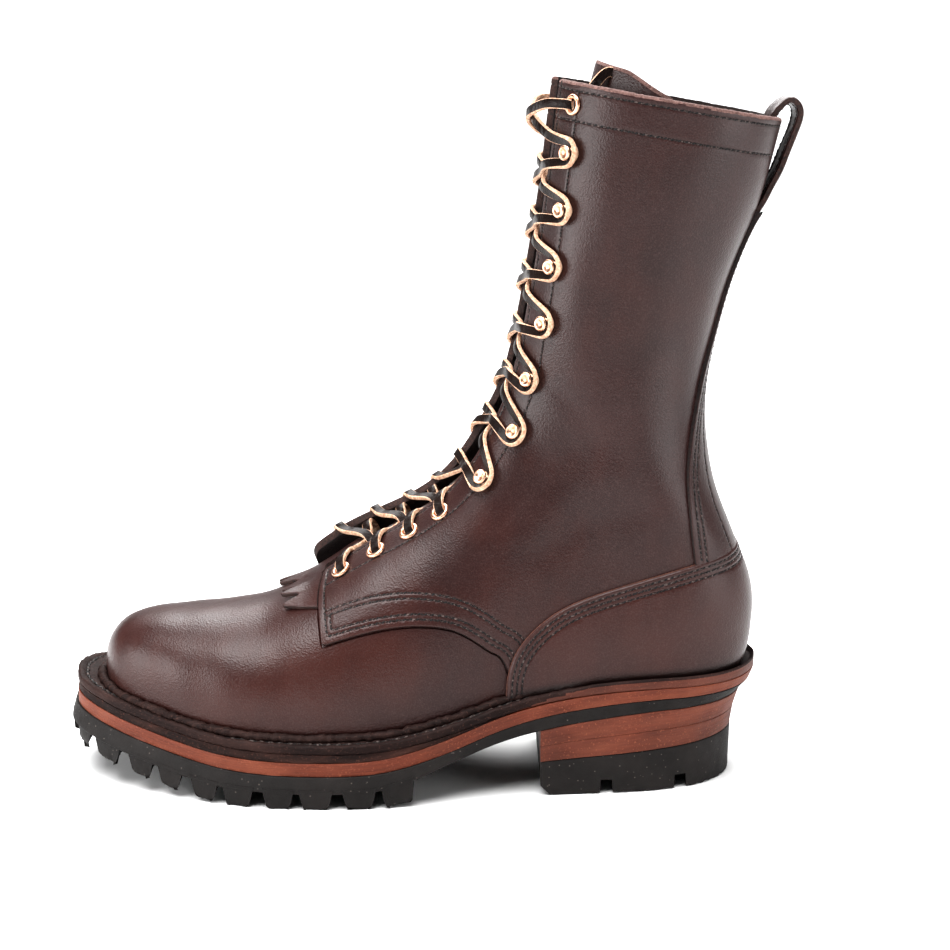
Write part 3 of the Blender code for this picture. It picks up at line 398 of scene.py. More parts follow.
def on_form(points, half):
    """Places on one half of the form that lie over points of the side view, x and z."""
    cloud = FORM["place"][:, half].reshape(-1, 3)
    made = []
    for x, z in points:
        offset = cloud[:, [0, 2]] - (x, z)
        near = np.argpartition((offset ** 2).sum(axis=1), FIT_POINTS)[:FIT_POINTS]
        basis = np.column_stack([np.ones(len(near)), offset[near]])
        fit = np.linalg.lstsq(basis, cloud[near, 1], rcond=None)[0]
        made.append((x, fit[0], z))
    return np.array(made)


BESIDE_RIDGE = 0.001              # keeps a point off the ridge itself


def near_ridge(stations, across):
    """Points of the base form near the ridge and their normals; across is negative on the outer side."""
    stations, across = np.broadcast_arrays(np.asarray(stations, float), np.asarray(across, float))

    def at(section, shift):
        values = blend(SECTIONS, section)
        reach = np.where(shift < 0, values[..., OUTER], values[..., INNER]) - values[..., MID]
        part = np.abs(shift / reach)
        height = (1 - part ** values[..., ROUND]) ** (1 / values[..., ROUND])
        height = values[..., WIDE] + (1 - values[..., WIDE]) * height
        x = values[..., SEAT_X] + (values[..., TOP_X] - values[..., SEAT_X]) * height
        z = values[..., SEAT_Z] + (values[..., TOP_Z] - values[..., SEAT_Z]) * height
        return np.stack([x, values[..., MID] + shift, z], axis=-1)

    step = 0.08
    along = at(stations + step, across) - at(stations - step, across)
    over = at(stations, across + 5 * step) - at(stations, across - 5 * step)
    normal = unit(np.cross(along, over))
    normal *= np.where(normal[..., 0] > 0, -1.0, 1.0)[..., None]
    return at(stations, across), normal


FAR_LIFT = [
    # section, rise of the inner quarter's throat edge
    (8.5, 8.5), (9.5, 9.6), (10.5, 9.4), (12.5, 7.0), (15.0, 5.5), (20.0, 3.2), (28.0, 2.4), (34.8, 1.8),
]
FAR_LIFT_OVER = 24.0


def far_lift(stations, gap):
    """Rise of the inner quarter at a distance from its throat edge, where the lace pulls it up."""
    return column_at(FAR_LIFT, stations, 1) * ease(gap, FAR_LIFT_OVER, 0.0)


# Fields over the form: signed distances in millimetres, positive inside a panel

def side_line(points, half):
    """A panel edge given in the side view, laid on one half of the form."""
    return on_form(evenly(curve(points), 90), half)


SOLE_TUCK = 0.8                   # the leather ends this much below the welt's top
FAR_AHEAD = [(24, -50), (-300, -50), (-300, 500), (-57, 500)]   # closes the space in front of the quarters
FAR_BEHIND = [(300, 110), (300, -50), (12.5, -50)]              # and the space under the counter's edge
COUNTER_BACK_X = 120.0            # its edge ends here on each half of the form
RIDGE_COLUMNS = 60                # columns beside the ridge that the throat's edge lies in


def form_fields():
    """Signed distances over the whole form, by name."""
    place = FORM["place"]
    x, y, z = place[..., 0], place[..., 1], place[..., 2]
    shape = x.shape
    run = (COLLAR_BACK - COLLAR_FRONT) / np.linalg.norm(COLLAR_BACK - COLLAR_FRONT)
    fields = {
        "sole": z - level(x, WELT_TOP) + SOLE_TUCK,
        "collar": -((x - COLLAR_FRONT[0]) * -run[1] + (z - COLLAR_FRONT[1]) * run[0]),
    }
    throat, front, lower, counter = (np.zeros(shape) for _ in range(4))
    for half, column, forward in ((OUTER_HALF, 1, 0.0), (INNER_HALF, 2, INNER_QUARTER_FORWARD)):
        arc = FORM["arc"][:, half]
        across = np.abs(y[:, half] - y[:, COLUMNS:COLUMNS + 1])
        reach = column_at(THROAT, FORM["station"][:, 0], column)
        order = slice(None, None, -1) if half is OUTER_HALF else slice(None)
        edge = [np.interp(wide, gap[order][:RIDGE_COLUMNS], run_down[order][:RIDGE_COLUMNS])
                for wide, gap, run_down in zip(reach, across, arc)]
        throat[:, half] = arc - np.array(edge)[:, None]

        def moved(points):
            return [(px - forward * ease(-px, 0, INNER_FORWARD_OVER), pz) for px, pz in points]

        flat = place[:, half][..., [0, 2]].reshape(-1, 2)
        solid = place[:, half].reshape(-1, 3)

        def distance(sign, line):
            return (sign * line_distance(solid, side_line(line, half))).reshape(arc.shape)

        front_edge, lower_edge = moved(QUARTER_FRONT), moved(QUARTER_LOWER)
        ahead = np.concatenate([curve(front_edge), curve(lower_edge)[1:], FAR_AHEAD])
        sign = np.where(inside(flat, ahead), -1.0, 1.0)
        front[:, half] = distance(sign, front_edge)
        lower[:, half] = distance(sign, lower_edge)
        under = np.concatenate([curve(COUNTER_EDGE), FAR_BEHIND])
        sign = np.where(inside(flat, under), 1.0, -1.0)
        counter[:, half] = distance(sign, [point for point in COUNTER_EDGE if point[0] < COUNTER_BACK_X])
    quarter = np.where(np.abs(front) < np.abs(lower), front, lower)
    fields.update(throat=throat, front=front, lower=lower, quarter=quarter, counter=counter)
    return fields


FIELDS = form_fields()


# Materials

class Finish:
    """A node material: a Principled shader with textures in scene space."""

    def __init__(self, name, colour, roughness, metallic=0.0):
        self.material = bpy.data.materials.new(name)
        self.material.use_nodes = True
        self.tree = self.material.node_tree
        self.shader = self.tree.nodes["Principled BSDF"]
        self.shader.inputs["Metallic"].default_value = metallic
        self.colour = (*colour, 1.0)
        self.roughness = roughness
        self.height = None
        self.scene_space = self.tree.nodes.new("ShaderNodeTexCoord").outputs["Object"]

    def feed(self, value, socket):
        """Set a socket to a constant, or join an output to it."""
        if isinstance(value, (float, tuple)):
            socket.default_value = value
        else:
            self.tree.links.new(value, socket)

    def attribute(self, name, output="Fac"):
        node = self.tree.nodes.new("ShaderNodeAttribute")
        node.attribute_name = name
        return node.outputs[output]

    def stretched(self, vector, scale):
        node = self.tree.nodes.new("ShaderNodeMapping")
        node.inputs["Scale"].default_value = scale
        self.tree.links.new(vector, node.inputs["Vector"])
        return node.outputs["Vector"]

    def noise(self, scale, detail=2.0, vector=None, rough=0.5):
        node = self.tree.nodes.new("ShaderNodeTexNoise")
        node.inputs["Scale"].default_value = scale
        node.inputs["Detail"].default_value = detail
        node.inputs["Roughness"].default_value = rough
        self.tree.links.new(vector or self.scene_space, node.inputs["Vector"])
        return node.outputs["Fac"]

    def cells(self, scale):
        node = self.tree.nodes.new("ShaderNodeTexVoronoi")
        node.inputs["Scale"].default_value = scale
        self.tree.links.new(self.scene_space, node.inputs["Vector"])
        return node.outputs["Distance"]

    def range(self, value, low, high, to_low=0.0, to_high=1.0):
        node = self.tree.nodes.new("ShaderNodeMapRange")
        limits = {"From Min": low, "From Max": high, "To Min": to_low, "To Max": to_high}
        for name, limit in limits.items():
            node.inputs[name].default_value = limit
        self.tree.links.new(value, node.inputs["Value"])
        return node.outputs["Result"]

    def math(self, operation, first, second):
        node = self.tree.nodes.new("ShaderNodeMath")
        node.operation = operation
        for socket, value in zip(node.inputs, (first, second)):
            self.feed(value, socket)
        return node.outputs[0]

    def tint(self, factor, colour):
        """Mix another colour in where the factor is high."""
        node = self.tree.nodes.new("ShaderNodeMix")
        node.data_type = "RGBA"
        self.feed(factor, node.inputs[0])
        self.feed(self.colour, node.inputs[6])
        self.feed((*colour, 1.0), node.inputs[7])
        self.colour = node.outputs[2]

    def cloud(self, factor, low, high, colour, most=1.0):
        """Mix another colour in, up to a share, as a factor goes from low to high."""
        self.tint(self.range(factor, low, high, 0.0, most), colour)

    def stain(self, attribute, share, colour):
        """Mix another colour in by an attribute of the mesh."""
        self.tint(self.math("MULTIPLY", self.attribute(attribute), share), colour)

    def rough(self, factor, low, high):
        """Roughness that follows a factor from low to high."""
        self.roughness = self.range(factor, 0.0, 1.0, low, high)

    def bump(self, height, strength):
        scaled = self.math("MULTIPLY", height, strength)
        self.height = self.math("ADD", self.height, scaled) if self.height else scaled

    def done(self, bump_mm=0.3, **sockets):
        """Join the colour, roughness and bump to the shader, and set its constant sockets."""
        self.feed(self.colour, self.shader.inputs["Base Color"])
        self.feed(self.roughness, self.shader.inputs["Roughness"])
        if self.height:
            node = self.tree.nodes.new("ShaderNodeBump")
            node.inputs["Distance"].default_value = bump_mm * MM
            node.inputs["Strength"].default_value = 1.0
            self.tree.links.new(self.height, node.inputs["Height"])
            self.tree.links.new(node.outputs["Normal"], self.shader.inputs["Normal"])
        for name, value in sockets.items():
            socket = name.replace("_", " ").title().replace("Ior", "IOR")   # as the shader spells it
            self.shader.inputs[socket].default_value = value
        return self.material


PAINTED_SHADE_COLOUR = (0.003, 0.0016, 0.0015)


def leather_finish(name, dark, mid, red, pale, gloss):
    """Oiled leather: fine pores, cloudy colour, redder where tinted, paler on worn edges, and near-black
    painted shade just above the welt.
    """
    finish = Finish(name, dark, 0.45)
    finish.cloud(finish.noise(26, 3.0), 0.35, 0.68, mid)
    finish.stain("tint", 0.85, red)
    finish.cloud(finish.noise(1500, 2.0), 0.45, 0.75, pale, 0.35)
    finish.stain("wear", 0.25, pale)
    # painted shade: near-black mixed in where the leather meets the welt, standing in for the shade in the
    # gap above the sole
    finish.stain("painted_shade", 0.85, PAINTED_SHADE_COLOUR)
    finish.rough(finish.noise(60, 3.0), 0.26, 0.42)
    finish.bump(finish.cells(1250), 0.45)
    finish.bump(finish.noise(420, 4.0, rough=0.6), 0.5)
    return finish.done(0.2, specular_ior_level=gloss)


def raw_edge_finish(name, dark, pale, scale=900):
    """Cut leather edge: fibrous, matt, uneven."""
    finish = Finish(name, dark, 0.85)
    fibres = finish.noise(scale, 4.0, rough=0.7)
    finish.cloud(fibres, 0.38, 0.68, pale)
    finish.cloud(finish.noise(120, 2.0), 0.5, 0.75, dark, 0.6)
    finish.bump(fibres, 1.0)
    return finish.done(0.45)


def suede_finish(name, dark, pale):
    """Flesh side of leather: matt, with a short nap."""
    finish = Finish(name, dark, 0.92)
    finish.cloud(finish.noise(700, 4.0, rough=0.65), 0.4, 0.7, pale)
    finish.cloud(finish.noise(45, 2.0), 0.45, 0.75, dark, 0.5)
    finish.bump(finish.noise(1500, 3.0), 1.0)
    return finish.done(0.25, sheen_weight=0.15)


def layered_finish(name, dark, mid, pale, roughness, lines=9.0, gloss=0.28):
    """Sole leather edge: fine lines along the layer, cloudy stain and a few pale specks."""
    finish = Finish(name, mid, roughness)
    along = finish.attribute("grain", "Vector")
    streaks = finish.noise(1.0, 4.0, finish.stretched(along, (0.05, 1.0, lines * 0.16)), 0.65)
    bands = finish.noise(1.0, 3.0, finish.stretched(along, (0.035, 1, 0.12)))
    finish.cloud(streaks, 0.40, 0.66, dark, 0.55)
    finish.cloud(bands, 0.42, 0.7, pale, 0.5)
    finish.cloud(finish.noise(24, 3.0), 0.50, 0.72, dark, 0.6)
    finish.cloud(finish.noise(1100, 2.0), 0.60, 0.70, pale, 0.8)
    finish.rough(finish.noise(150, 3.0), roughness - 0.08, roughness + 0.1)
    finish.bump(streaks, 0.9)
    finish.bump(finish.noise(1300, 3.0), 0.45)
    return finish.done(0.3, specular_ior_level=gloss)


def rubber_finish(name, dark, mid, speck):
    """Matt rubber with a few pale specks."""
    finish = Finish(name, dark, 0.7)
    finish.cloud(finish.noise(55, 3.0), 0.4, 0.7, mid)
    finish.cloud(finish.cells(330), 0.13, 0.07, speck, 0.8)
    finish.rough(finish.noise(200, 3.0), 0.58, 0.8)
    finish.bump(finish.noise(900, 4.0, rough=0.6), 0.8)
    return finish.done(0.25, specular_ior_level=0.25)


def metal_finish(name, dark, bright):
    """Plated metal, a little tarnished."""
    finish = Finish(name, bright, 0.3, 1.0)
    finish.cloud(finish.noise(400, 4.0), 0.45, 0.7, dark)
    finish.rough(finish.noise(700, 3.0), 0.2, 0.42)
    finish.bump(finish.noise(600, 2.0), 0.3)
    return finish.done(0.1)


def thread_finish(name, dark, pale):
    """Waxed thread."""
    finish = Finish(name, dark, 0.5)
    finish.cloud(finish.noise(900, 3.0), 0.45, 0.66, pale)
    finish.bump(finish.noise(3500, 2.0), 1.0)
    return finish.done(0.1, specular_ior_level=0.25)


# Finish of each material, with its colours and numbers
MATERIAL_TABLE = {
    "leather": (leather_finish, (0.0185, 0.0062, 0.0056), (0.0265, 0.0095, 0.0086), (0.041, 0.0112, 0.0080),
                (0.072, 0.041, 0.0375), 0.31),
    "cut_edge": (raw_edge_finish, (0.010, 0.0042, 0.0035), (0.055, 0.022, 0.016)),
    "dark_edge": (raw_edge_finish, (0.004, 0.002, 0.0018), (0.026, 0.011, 0.009)),
    "red_edge": (raw_edge_finish, (0.050, 0.017, 0.011), (0.15, 0.058, 0.036)),
    "collar_edge": (raw_edge_finish, (0.07, 0.033, 0.028), (0.24, 0.135, 0.116)),
    "suede": (suede_finish, (0.014, 0.007, 0.0056), (0.045, 0.023, 0.019)),
    "thread": (thread_finish, (0.007, 0.005, 0.0045), (0.105, 0.080, 0.073)),
    # painted shade: a near-black stand-in for the shade inside needle holes and eyelet holes
    "painted_hole_shade": (raw_edge_finish, (0.0025, 0.0018, 0.0018), (0.006, 0.004, 0.004)),
    "welt": (layered_finish, (0.004, 0.002, 0.0018), (0.014, 0.006, 0.005), (0.055, 0.027, 0.022), 0.65, 9.0,
             0.14),
    "slip": (layered_finish, (0.004, 0.002, 0.0016), (0.012, 0.005, 0.004), (0.07, 0.029, 0.021), 0.7, 14.0,
             0.16),
    "midsole": (layered_finish, (0.045, 0.0095, 0.0042), (0.125, 0.027, 0.0115), (0.20, 0.056, 0.027), 0.6),
    "stack": (layered_finish, (0.050, 0.0115, 0.0055), (0.12, 0.028, 0.0135), (0.19, 0.054, 0.028), 0.6, 5.0),
    "rim": (layered_finish, (0.030, 0.008, 0.0048), (0.078, 0.020, 0.0105), (0.14, 0.043, 0.026), 0.55),
    "rubber": (rubber_finish, (0.0062, 0.0047, 0.0042), (0.012, 0.0092, 0.0083), (0.09, 0.075, 0.066)),
    "copper": (metal_finish, (0.36, 0.15, 0.08), (0.86, 0.52, 0.36)),
    "lace_grain": (leather_finish, (0.006, 0.0034, 0.003), (0.010, 0.0056, 0.0046), (0.015, 0.008, 0.006),
                   (0.04, 0.024, 0.019), 0.13),
    "lace_flesh": (raw_edge_finish, (0.42, 0.22, 0.135), (0.86, 0.62, 0.44), 700),
    "insole": (suede_finish, (0.06, 0.03, 0.02), (0.14, 0.08, 0.05)),
}
MATERIALS = {name: finish(name, *settings) for name, (finish, *settings) in MATERIAL_TABLE.items()}


# Meshes

def write_values(mesh, name, numbers):
    """Store numbers, or vectors, at the mesh's points."""
    kind, field = ("FLOAT", "value") if numbers.ndim == 1 else ("FLOAT_VECTOR", "vector")
    mesh.attributes.new(name, kind, "POINT").data.foreach_set(field, numbers.astype(np.float32).ravel())


def read_values(mesh, name, width):
    """The numbers of an attribute, or its vectors where width is 3."""
    numbers = np.zeros(len(mesh.vertices) * width, np.float32)
    mesh.attributes[name].data.foreach_get("value" if width == 1 else "vector", numbers)
    return numbers.astype(float) if width == 1 else numbers.reshape(-1, 3).astype(float)


def add_piece(name, points, polygons, materials, slots=None, values=None, sharp=50.0, replaces=(), slot=None):
    """New piece from layout points. slots: each polygon's material index. values: attributes by name."""
    mesh = bpy.data.meshes.new(name)
    mesh.from_pydata(to_scene(points).tolist(), [], [list(map(int, polygon)) for polygon in polygons])
    for material in materials:
        mesh.materials.append(MATERIALS[material])
    if slots is not None:
        mesh.polygons.foreach_set("material_index", np.asarray(slots, np.int32))
    for key, numbers in (values or {}).items():
        write_values(mesh, key, numbers)
    mesh.validate()
    mesh.update()
    mesh.polygons.foreach_set("use_smooth", np.ones(len(mesh.polygons), bool))
    mesh.set_sharp_from_angle(angle=math.radians(sharp))
    piece = bpy.data.objects.new(name, mesh)
    bpy.context.scene.collection.objects.link(piece)
    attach(piece, "root")
    if replaces:
        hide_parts(*replaces)
    return piece


def patch(columns, trims, splits, rows=slice(None), fields=FIELDS):
    """Part of the form where every trimming field is above 0, split along further levels of its fields."""
    grids = {"place": FORM["place"], "normal": FORM["normal"], "row": ROWS_PER_SECTION * FORM["station"]}
    grids.update(fields)
    grids = {name: grid[rows][:, columns] for name, grid in grids.items()}
    shape = grids["row"].shape
    grids["column"] = np.broadcast_to(np.arange(shape[1], dtype=float), shape)
    corners = grid_cells(*shape)
    for name in trims:
        corners = corners[grids[name].ravel()[corners].max(axis=1) > 0]
    used, corners = np.unique(corners, return_inverse=True)
    mesh = bpy.data.meshes.new("patch")
    mesh.from_pydata([(0, 0, 0)] * len(used), [], corners.reshape(-1, 4).tolist())
    for name, grid in grids.items():
        write_values(mesh, name, grid.reshape(-1, *grid.shape[2:])[used])
    bm = bmesh.new()
    bm.from_mesh(mesh)
    layers = bm.verts.layers.float
    row, column = layers["row"], layers["column"]
    cuts = [(name, (0.0,), True) for name in trims] + [(*split, False) for split in splits]
    for name, levels, trim in cuts:
        field = layers[name]
        for vert in bm.verts:
            vert.co = (vert[field], vert[row], vert[column])
        for value in levels:
            bmesh.ops.bisect_plane(bm, geom=bm.verts[:] + bm.edges[:] + bm.faces[:], dist=1e-5,
                                   plane_co=(value, 0, 0), plane_no=(1, 0, 0), clear_inner=trim)
    bm.to_mesh(mesh)
    bm.free()
    made = {name: read_values(mesh, name, 1 if grid.ndim == 2 else 3) for name, grid in grids.items()}
    made["polygons"] = [list(polygon.vertices) for polygon in mesh.polygons]
    made["edges"] = np.array([edge.vertices[:] for edge in mesh.edges])
    bpy.data.meshes.remove(mesh)
    made["normal"] = unit(made["normal"])
    first = made["polygons"][len(made["polygons"]) // 2][:3]
    a, b, c = made["place"][first]
    if np.cross(b - a, c - a) @ made["normal"][first[0]] < 0:
        made["polygons"] = [polygon[::-1] for polygon in made["polygons"]]
    return made


def border(polygons):
    """Directed edges that only one polygon uses."""
    edges = {}
    for polygon in polygons:
        for a, b in zip(polygon, polygon[1:] + polygon[:1]):
            edges[(a, b)] = True
    return [(a, b) for a, b in edges if (b, a) not in edges]


def closed(polygons, count):
    """A sheet's polygons, its underside's, numbered from count, and its walls', with slots 0, 2 and 1."""
    under = [[i + count for i in reversed(polygon)] for polygon in polygons]
    walls = [[b, a, a + count, b + count] for a, b in border(polygons)]
    slots = np.array([0] * len(polygons) + [2] * len(under) + [1] * len(walls))
    return polygons + under + walls, slots


# Creases in the side view: points, half width, height (negative for a trough), side
CREASES = [
    ([(16.0, 128.0), (30.0, 146.0), (48.0, 158.0)], 7.0, -0.7, -1),
    ([(22.0, 116.0), (38.0, 133.0), (60.0, 143.0)], 8.0, 0.6, -1),
    ([(30.0, 108.0), (48.0, 121.0), (72.0, 127.0)], 7.0, -0.6, -1),
    ([(-92.0, 68.0), (-84.0, 52.0), (-80.0, 40.0)], 10.0, -0.5, -1),
    ([(-110.0, 62.0), (-106.0, 48.0), (-104.0, 38.0)], 9.0, 0.4, -1),
    ([(50.0, 180.0), (66.0, 196.0), (84.0, 204.0)], 10.0, -0.5, -1),
    ([(18.0, 126.0), (34.0, 142.0), (54.0, 152.0)], 7.0, -0.6, 1),
    ([(28.0, 110.0), (46.0, 124.0), (70.0, 130.0)], 8.0, 0.5, 1),
    ([(-88.0, 66.0), (-82.0, 52.0), (-80.0, 40.0)], 10.0, -0.5, 1),
]
# Reddish places: x, z, radius, strength
RED_SPOTS = [(-150.0, 48.0, 26.0, 0.6), (-110.0, 44.0, 30.0, 0.7), (-70.0, 52.0, 26.0, 0.75),
             (-38.0, 62.0, 24.0, 0.8), (-30.0, 98.0, 16.0, 0.35), (30.0, 62.0, 26.0, 0.7),
             (75.0, 72.0, 28.0, 0.8), (104.0, 84.0, 22.0, 0.5), (20.0, 108.0, 20.0, 0.3),
             (70.0, 215.0, 26.0, 0.2)]
UNEVEN = 0.16                     # of the leather, in millimetres
RED_UNEVEN = 0.15                 # of its red tint


def relief(place):
    """Soft creases and unevenness of the leather, in millimetres along the normal."""
    height = UNEVEN * waves(place, 16, 60, 3)
    for points, half, rise, side in CREASES:
        line = curve(points, 4)
        near = np.sign(place[:, 1]) == side
        gap = line_distance(place[near][:, [0, 2]], line)
        height[near] += rise * np.exp(-(gap / half) ** 2)
    return height


def redness(place):
    """Share of the red tint at places on the form."""
    total = np.zeros(len(place))
    for x, z, radius, strength in RED_SPOTS:
        gap = np.hypot(place[:, 0] - x, place[:, 2] - z)
        total += strength * np.exp(-(gap / radius) ** 2)
    return np.clip(total + RED_UNEVEN * waves(place, 10, 40, 11), 0, 1)


def rolled(distance, radius):
    """Fall of a surface towards a rounded edge, 0 away from it."""
    d = np.clip(distance, 0, radius)
    return np.sqrt(radius ** 2 - (radius - d) ** 2) - radius


GROOVE_HALF = 0.8                 # half width of the groove under a row of stitches
EDGE_LEVELS = (0.15, 0.4, 0.8, 1.3)   # a panel is split at these distances from its edge
WEAR_OVER = 0.7                   # wear fades over this distance from an edge
PAINTED_SHADE_OVER = (4.5, 0.8)           # painted shade: near-black is mixed into the leather between these heights over the welt, fully at the lower one


def grooves(values, levels, deep=0.3):
    """Shallow grooves under rows of stitches at levels of a field."""
    total = np.zeros(len(values))
    for value in levels:
        total -= deep * np.clip(1 - np.abs(values - value) / GROOVE_HALF, 0, 1)
    return total


def row_levels(levels):
    """Levels to split a field at for rows of stitches and their grooves."""
    return tuple(sorted(value + shift for value in levels for shift in (-GROOVE_HALF, 0.0, GROOVE_HALF)))


def panel(name, sheet, outer, inner, materials, edge, frayed=None, **options):
    """Closed piece over a patch between two heights, with its own raw edges.

    Materials: top, edge, underside and, where frayed is true, a paler edge that shows on the top too.
    """
    shift = relief(sheet["place"])
    top = sheet["place"] + sheet["normal"] * (outer + shift)[:, None]
    below = sheet["place"] + sheet["normal"] * (inner + shift)[:, None]
    polygons, slots = closed(sheet["polygons"], len(top))
    if frayed is not None:
        faces = len(sheet["polygons"])
        slots[:faces][[frayed[polygon].all() for polygon in polygons[:faces]]] = 3
        slots[2 * faces:][[frayed[wall[:2]].all() for wall in polygons[2 * faces:]]] = 3
    tint, wear = redness(sheet["place"]), np.exp(-np.clip(edge, 0, None) / WEAR_OVER)
    # painted shade: 1 just above the welt, fading to 0 a few millimetres higher
    painted_shade = ease(top[:, 2] - level(top[:, 0], WELT_TOP), *PAINTED_SHADE_OVER)
    values = {"tint": np.tile(tint, 2), "wear": np.tile(wear, 2), "painted_shade": np.tile(painted_shade, 2)}
    sheet["top"] = top
    return add_piece(name, np.concatenate([top, below]), polygons, materials, slots, values, **options)


def chains(edges):
    """Edges joined into lines of vertex numbers."""
    links = {}
    for a, b in edges:
        links.setdefault(int(a), []).append(int(b))
        links.setdefault(int(b), []).append(int(a))
    lines, seen = [], set()
    ends = [v for v in links if len(links[v]) != 2] + list(links)
    for start in ends:
        if start in seen:
            continue
        line, here = [start], start
        seen.add(start)
        while True:
            after = [v for v in links[here] if v not in seen]
            if not after:
                break
            here = after[0]
            seen.add(here)
            line.append(here)
        if len(line) > 3:
            lines.append(line)
    return lines


ON_LEVEL = 2e-3                   # points this near to a level lie on it


def sewn(sheet, field, value, where=None):
    """Rows of stitches along one level of a patch's field: points and normals."""
    a, b = sheet["edges"].T
    on = np.abs(sheet[field] - value) < ON_LEVEL
    if where is not None:
        on &= where
    rows = []
    for line in chains(sheet["edges"][on[a] & on[b]]):
        rows.append((sheet["top"][line], sheet["normal"][line]))
    return rows


STITCH_SIDES = np.radians(np.arange(0, 360, 60))
STITCH_RINGS = [                  # part of a stitch's length, girth and height in thread radii
    (-0.5, 0.35, -0.5), (-0.4, 0.85, -0.05), (-0.16, 1.0, 0.35), (0.16, 1.0, 0.35), (0.4, 0.85, -0.05),
    (0.5, 0.35, -0.5),
]
STITCH_SKEW = 0.10
HOLE_RINGS = [(-0.2, 1.0), (0.30, 0.85), (0.36, 0.3)]   # height in thread widths, girth
HOLE_LONG = 2.4                   # half length of the dark patch of painted shade at a needle hole, in thread radii
HOLE_WIDE = 1.6
HOLE_SLANT = 0.5
AHEAD = 0.4                       # a row's direction is read this far to each side


def stitches(name, rows, pitch, long, radius, materials, **options):
    """Stitches along rows, each sunk at its ends, with a dark patch of painted shade for the needle hole
    between two stitches.
    """
    cosines, sines = np.cos(STITCH_SIDES)[:, None], np.sin(STITCH_SIDES)[:, None]
    points, polygons, slots = [], [], []

    def add(rings, slot):
        """Take up one small closed body for each row of rings."""
        first, (count, depth, sides) = sum(map(len, points)), rings.shape[:3]
        for start in range(first, first + count * depth * sides, depth * sides):
            polygons.extend(rings_joined(depth, sides, start))
        points.append(rings.reshape(-1, 3))
        slots.extend([slot] * (len(polygons) - len(slots)))

    for line, normals in rows:
        run = lengths_along(line)
        count = int(run[-1] / pitch)
        if count < 1:
            continue
        step = run[-1] / count

        def frames(at):
            """Points of the row, its normals and the directions along and across it."""
            normal = unit(read_along(run, normals, at))
            forward = unit(read_along(run, line, at + AHEAD) - read_along(run, line, at - AHEAD))
            return read_along(run, line, at), normal, forward, unit(np.cross(normal, forward))

        centre, normal, forward, aside = frames((np.arange(count) + 0.5) * step)
        skew = np.array([RANDOM.uniform(-STITCH_SKEW, STITCH_SKEW) for _ in range(count)])[:, None]
        forward = unit(forward + aside * skew)
        aside = unit(np.cross(normal, forward))
        ring = aside[:, None] * cosines + normal[:, None] * sines
        add(np.stack([(centre + forward * (part * long) + normal * (lift * radius))[:, None]
                      + ring * (girth * radius) for part, girth, lift in STITCH_RINGS], axis=1), 0)
        # painted shade: a flat near-black patch at each needle hole
        centre, normal, forward, aside = frames(np.arange(count + 1) * step)
        slant = unit(forward + HOLE_SLANT * aside)
        add(np.stack([(centre + normal * high * radius * 2)[:, None]
                      + slant[:, None] * (cosines * radius * wide * HOLE_LONG)
                      + aside[:, None] * (sines * radius * wide * HOLE_WIDE)
                      for high, wide in HOLE_RINGS], axis=1), 1)
    return add_piece(name, np.concatenate(points), polygons, materials, slots, **options)


# Upper

LOWER_ROWS = (2.9, 5.1)           # rows of stitches from the quarter's edge
UPPER_ROWS = (12.5, 15.0)         # and the pair above them
UPPER_ROWS_CLOSE = 2.4            # that pair comes this much closer to the edge at the counter
EYESTAY_ROW = 16.0                # from the throat's edge
COLLAR_ROWS = (3.5, 16.0)
COLLAR_FRAY = 1.3                 # the collar's cut edge shows this far down its face
COLLAR_UNEVEN = 0.13
COLLAR_ROLL = 1.4                 # radius of the collar's rounded edge
CUT_ROLL = 0.4                    # and of the thinner cut edges
COUNTER_ROWS = (2.1, 4.3, 6.6)
BACKSTAY_ROWS = (2.6, 5.0)
BACK_ROW = 0.62                   # single row on the backstay, as a part of its half width
BACK_ROW_TOP = 178.0
SEAT_CENTRED = list(range(COLUMNS, -1, -1)) + list(range(2 * COLUMNS - 1, COLUMNS - 1, -1))
SEAM_PITCH = 3.0
SEAM_LONG = 1.8                   # a stitch's length
SEAM_RADIUS = 0.38                # its thread's
STITCH_ROWS = []                  # points and normals of every row, filled as the panels are built


def sections(first, last=None):
    """Rows of the form between two sections."""
    return slice(first * ROWS_PER_SECTION, last and last * ROWS_PER_SECTION)


VAMP_UNDER = 5.0                  # the vamp runs this far under the quarters
VAMP_GAP = (-1.1, -0.5, 0.4, 1.0)  # the vamp dips along the quarter's edge, over these distances
VAMP_DIP = 0.9
VAMP_WALL = 1.5
UNWORN = 20.0                     # distance from an edge that shows no wear


def build_vamp():
    """Vamp over the toe, its back edge under the quarters."""
    fields = dict(FIELDS, under=VAMP_UNDER - FIELDS["quarter"])
    sheet = patch(slice(None), ["sole", "under"], [("quarter", VAMP_GAP)], sections(0, 16), fields)
    high = np.interp(sheet["quarter"], VAMP_GAP, (0.0, -VAMP_DIP, -VAMP_DIP, 0.0))
    panel("vamp", sheet, high, high - VAMP_WALL, ["leather", "cut_edge", "suede"],
          np.full(len(high), UNWORN), replaces=["upper"], slot="leather")


CORNER_ROUND = {"outer": 4.0, "inner": 9.0}
PAIR_CLOSE_X = (-50.0, 20.0)      # the upper pair of rows closes in over this run
COUNTER_COVERS = 0.5              # no row is sewn further than this under the counter


def rounded_corner(first, second, radius):
    """Distance to the nearer of two edges, with their outer corner rounded."""
    a, b = np.maximum(radius - first, 0), np.maximum(radius - second, 0)
    return np.where((a > 0) & (b > 0), radius - np.hypot(a, b), np.minimum(first, second))


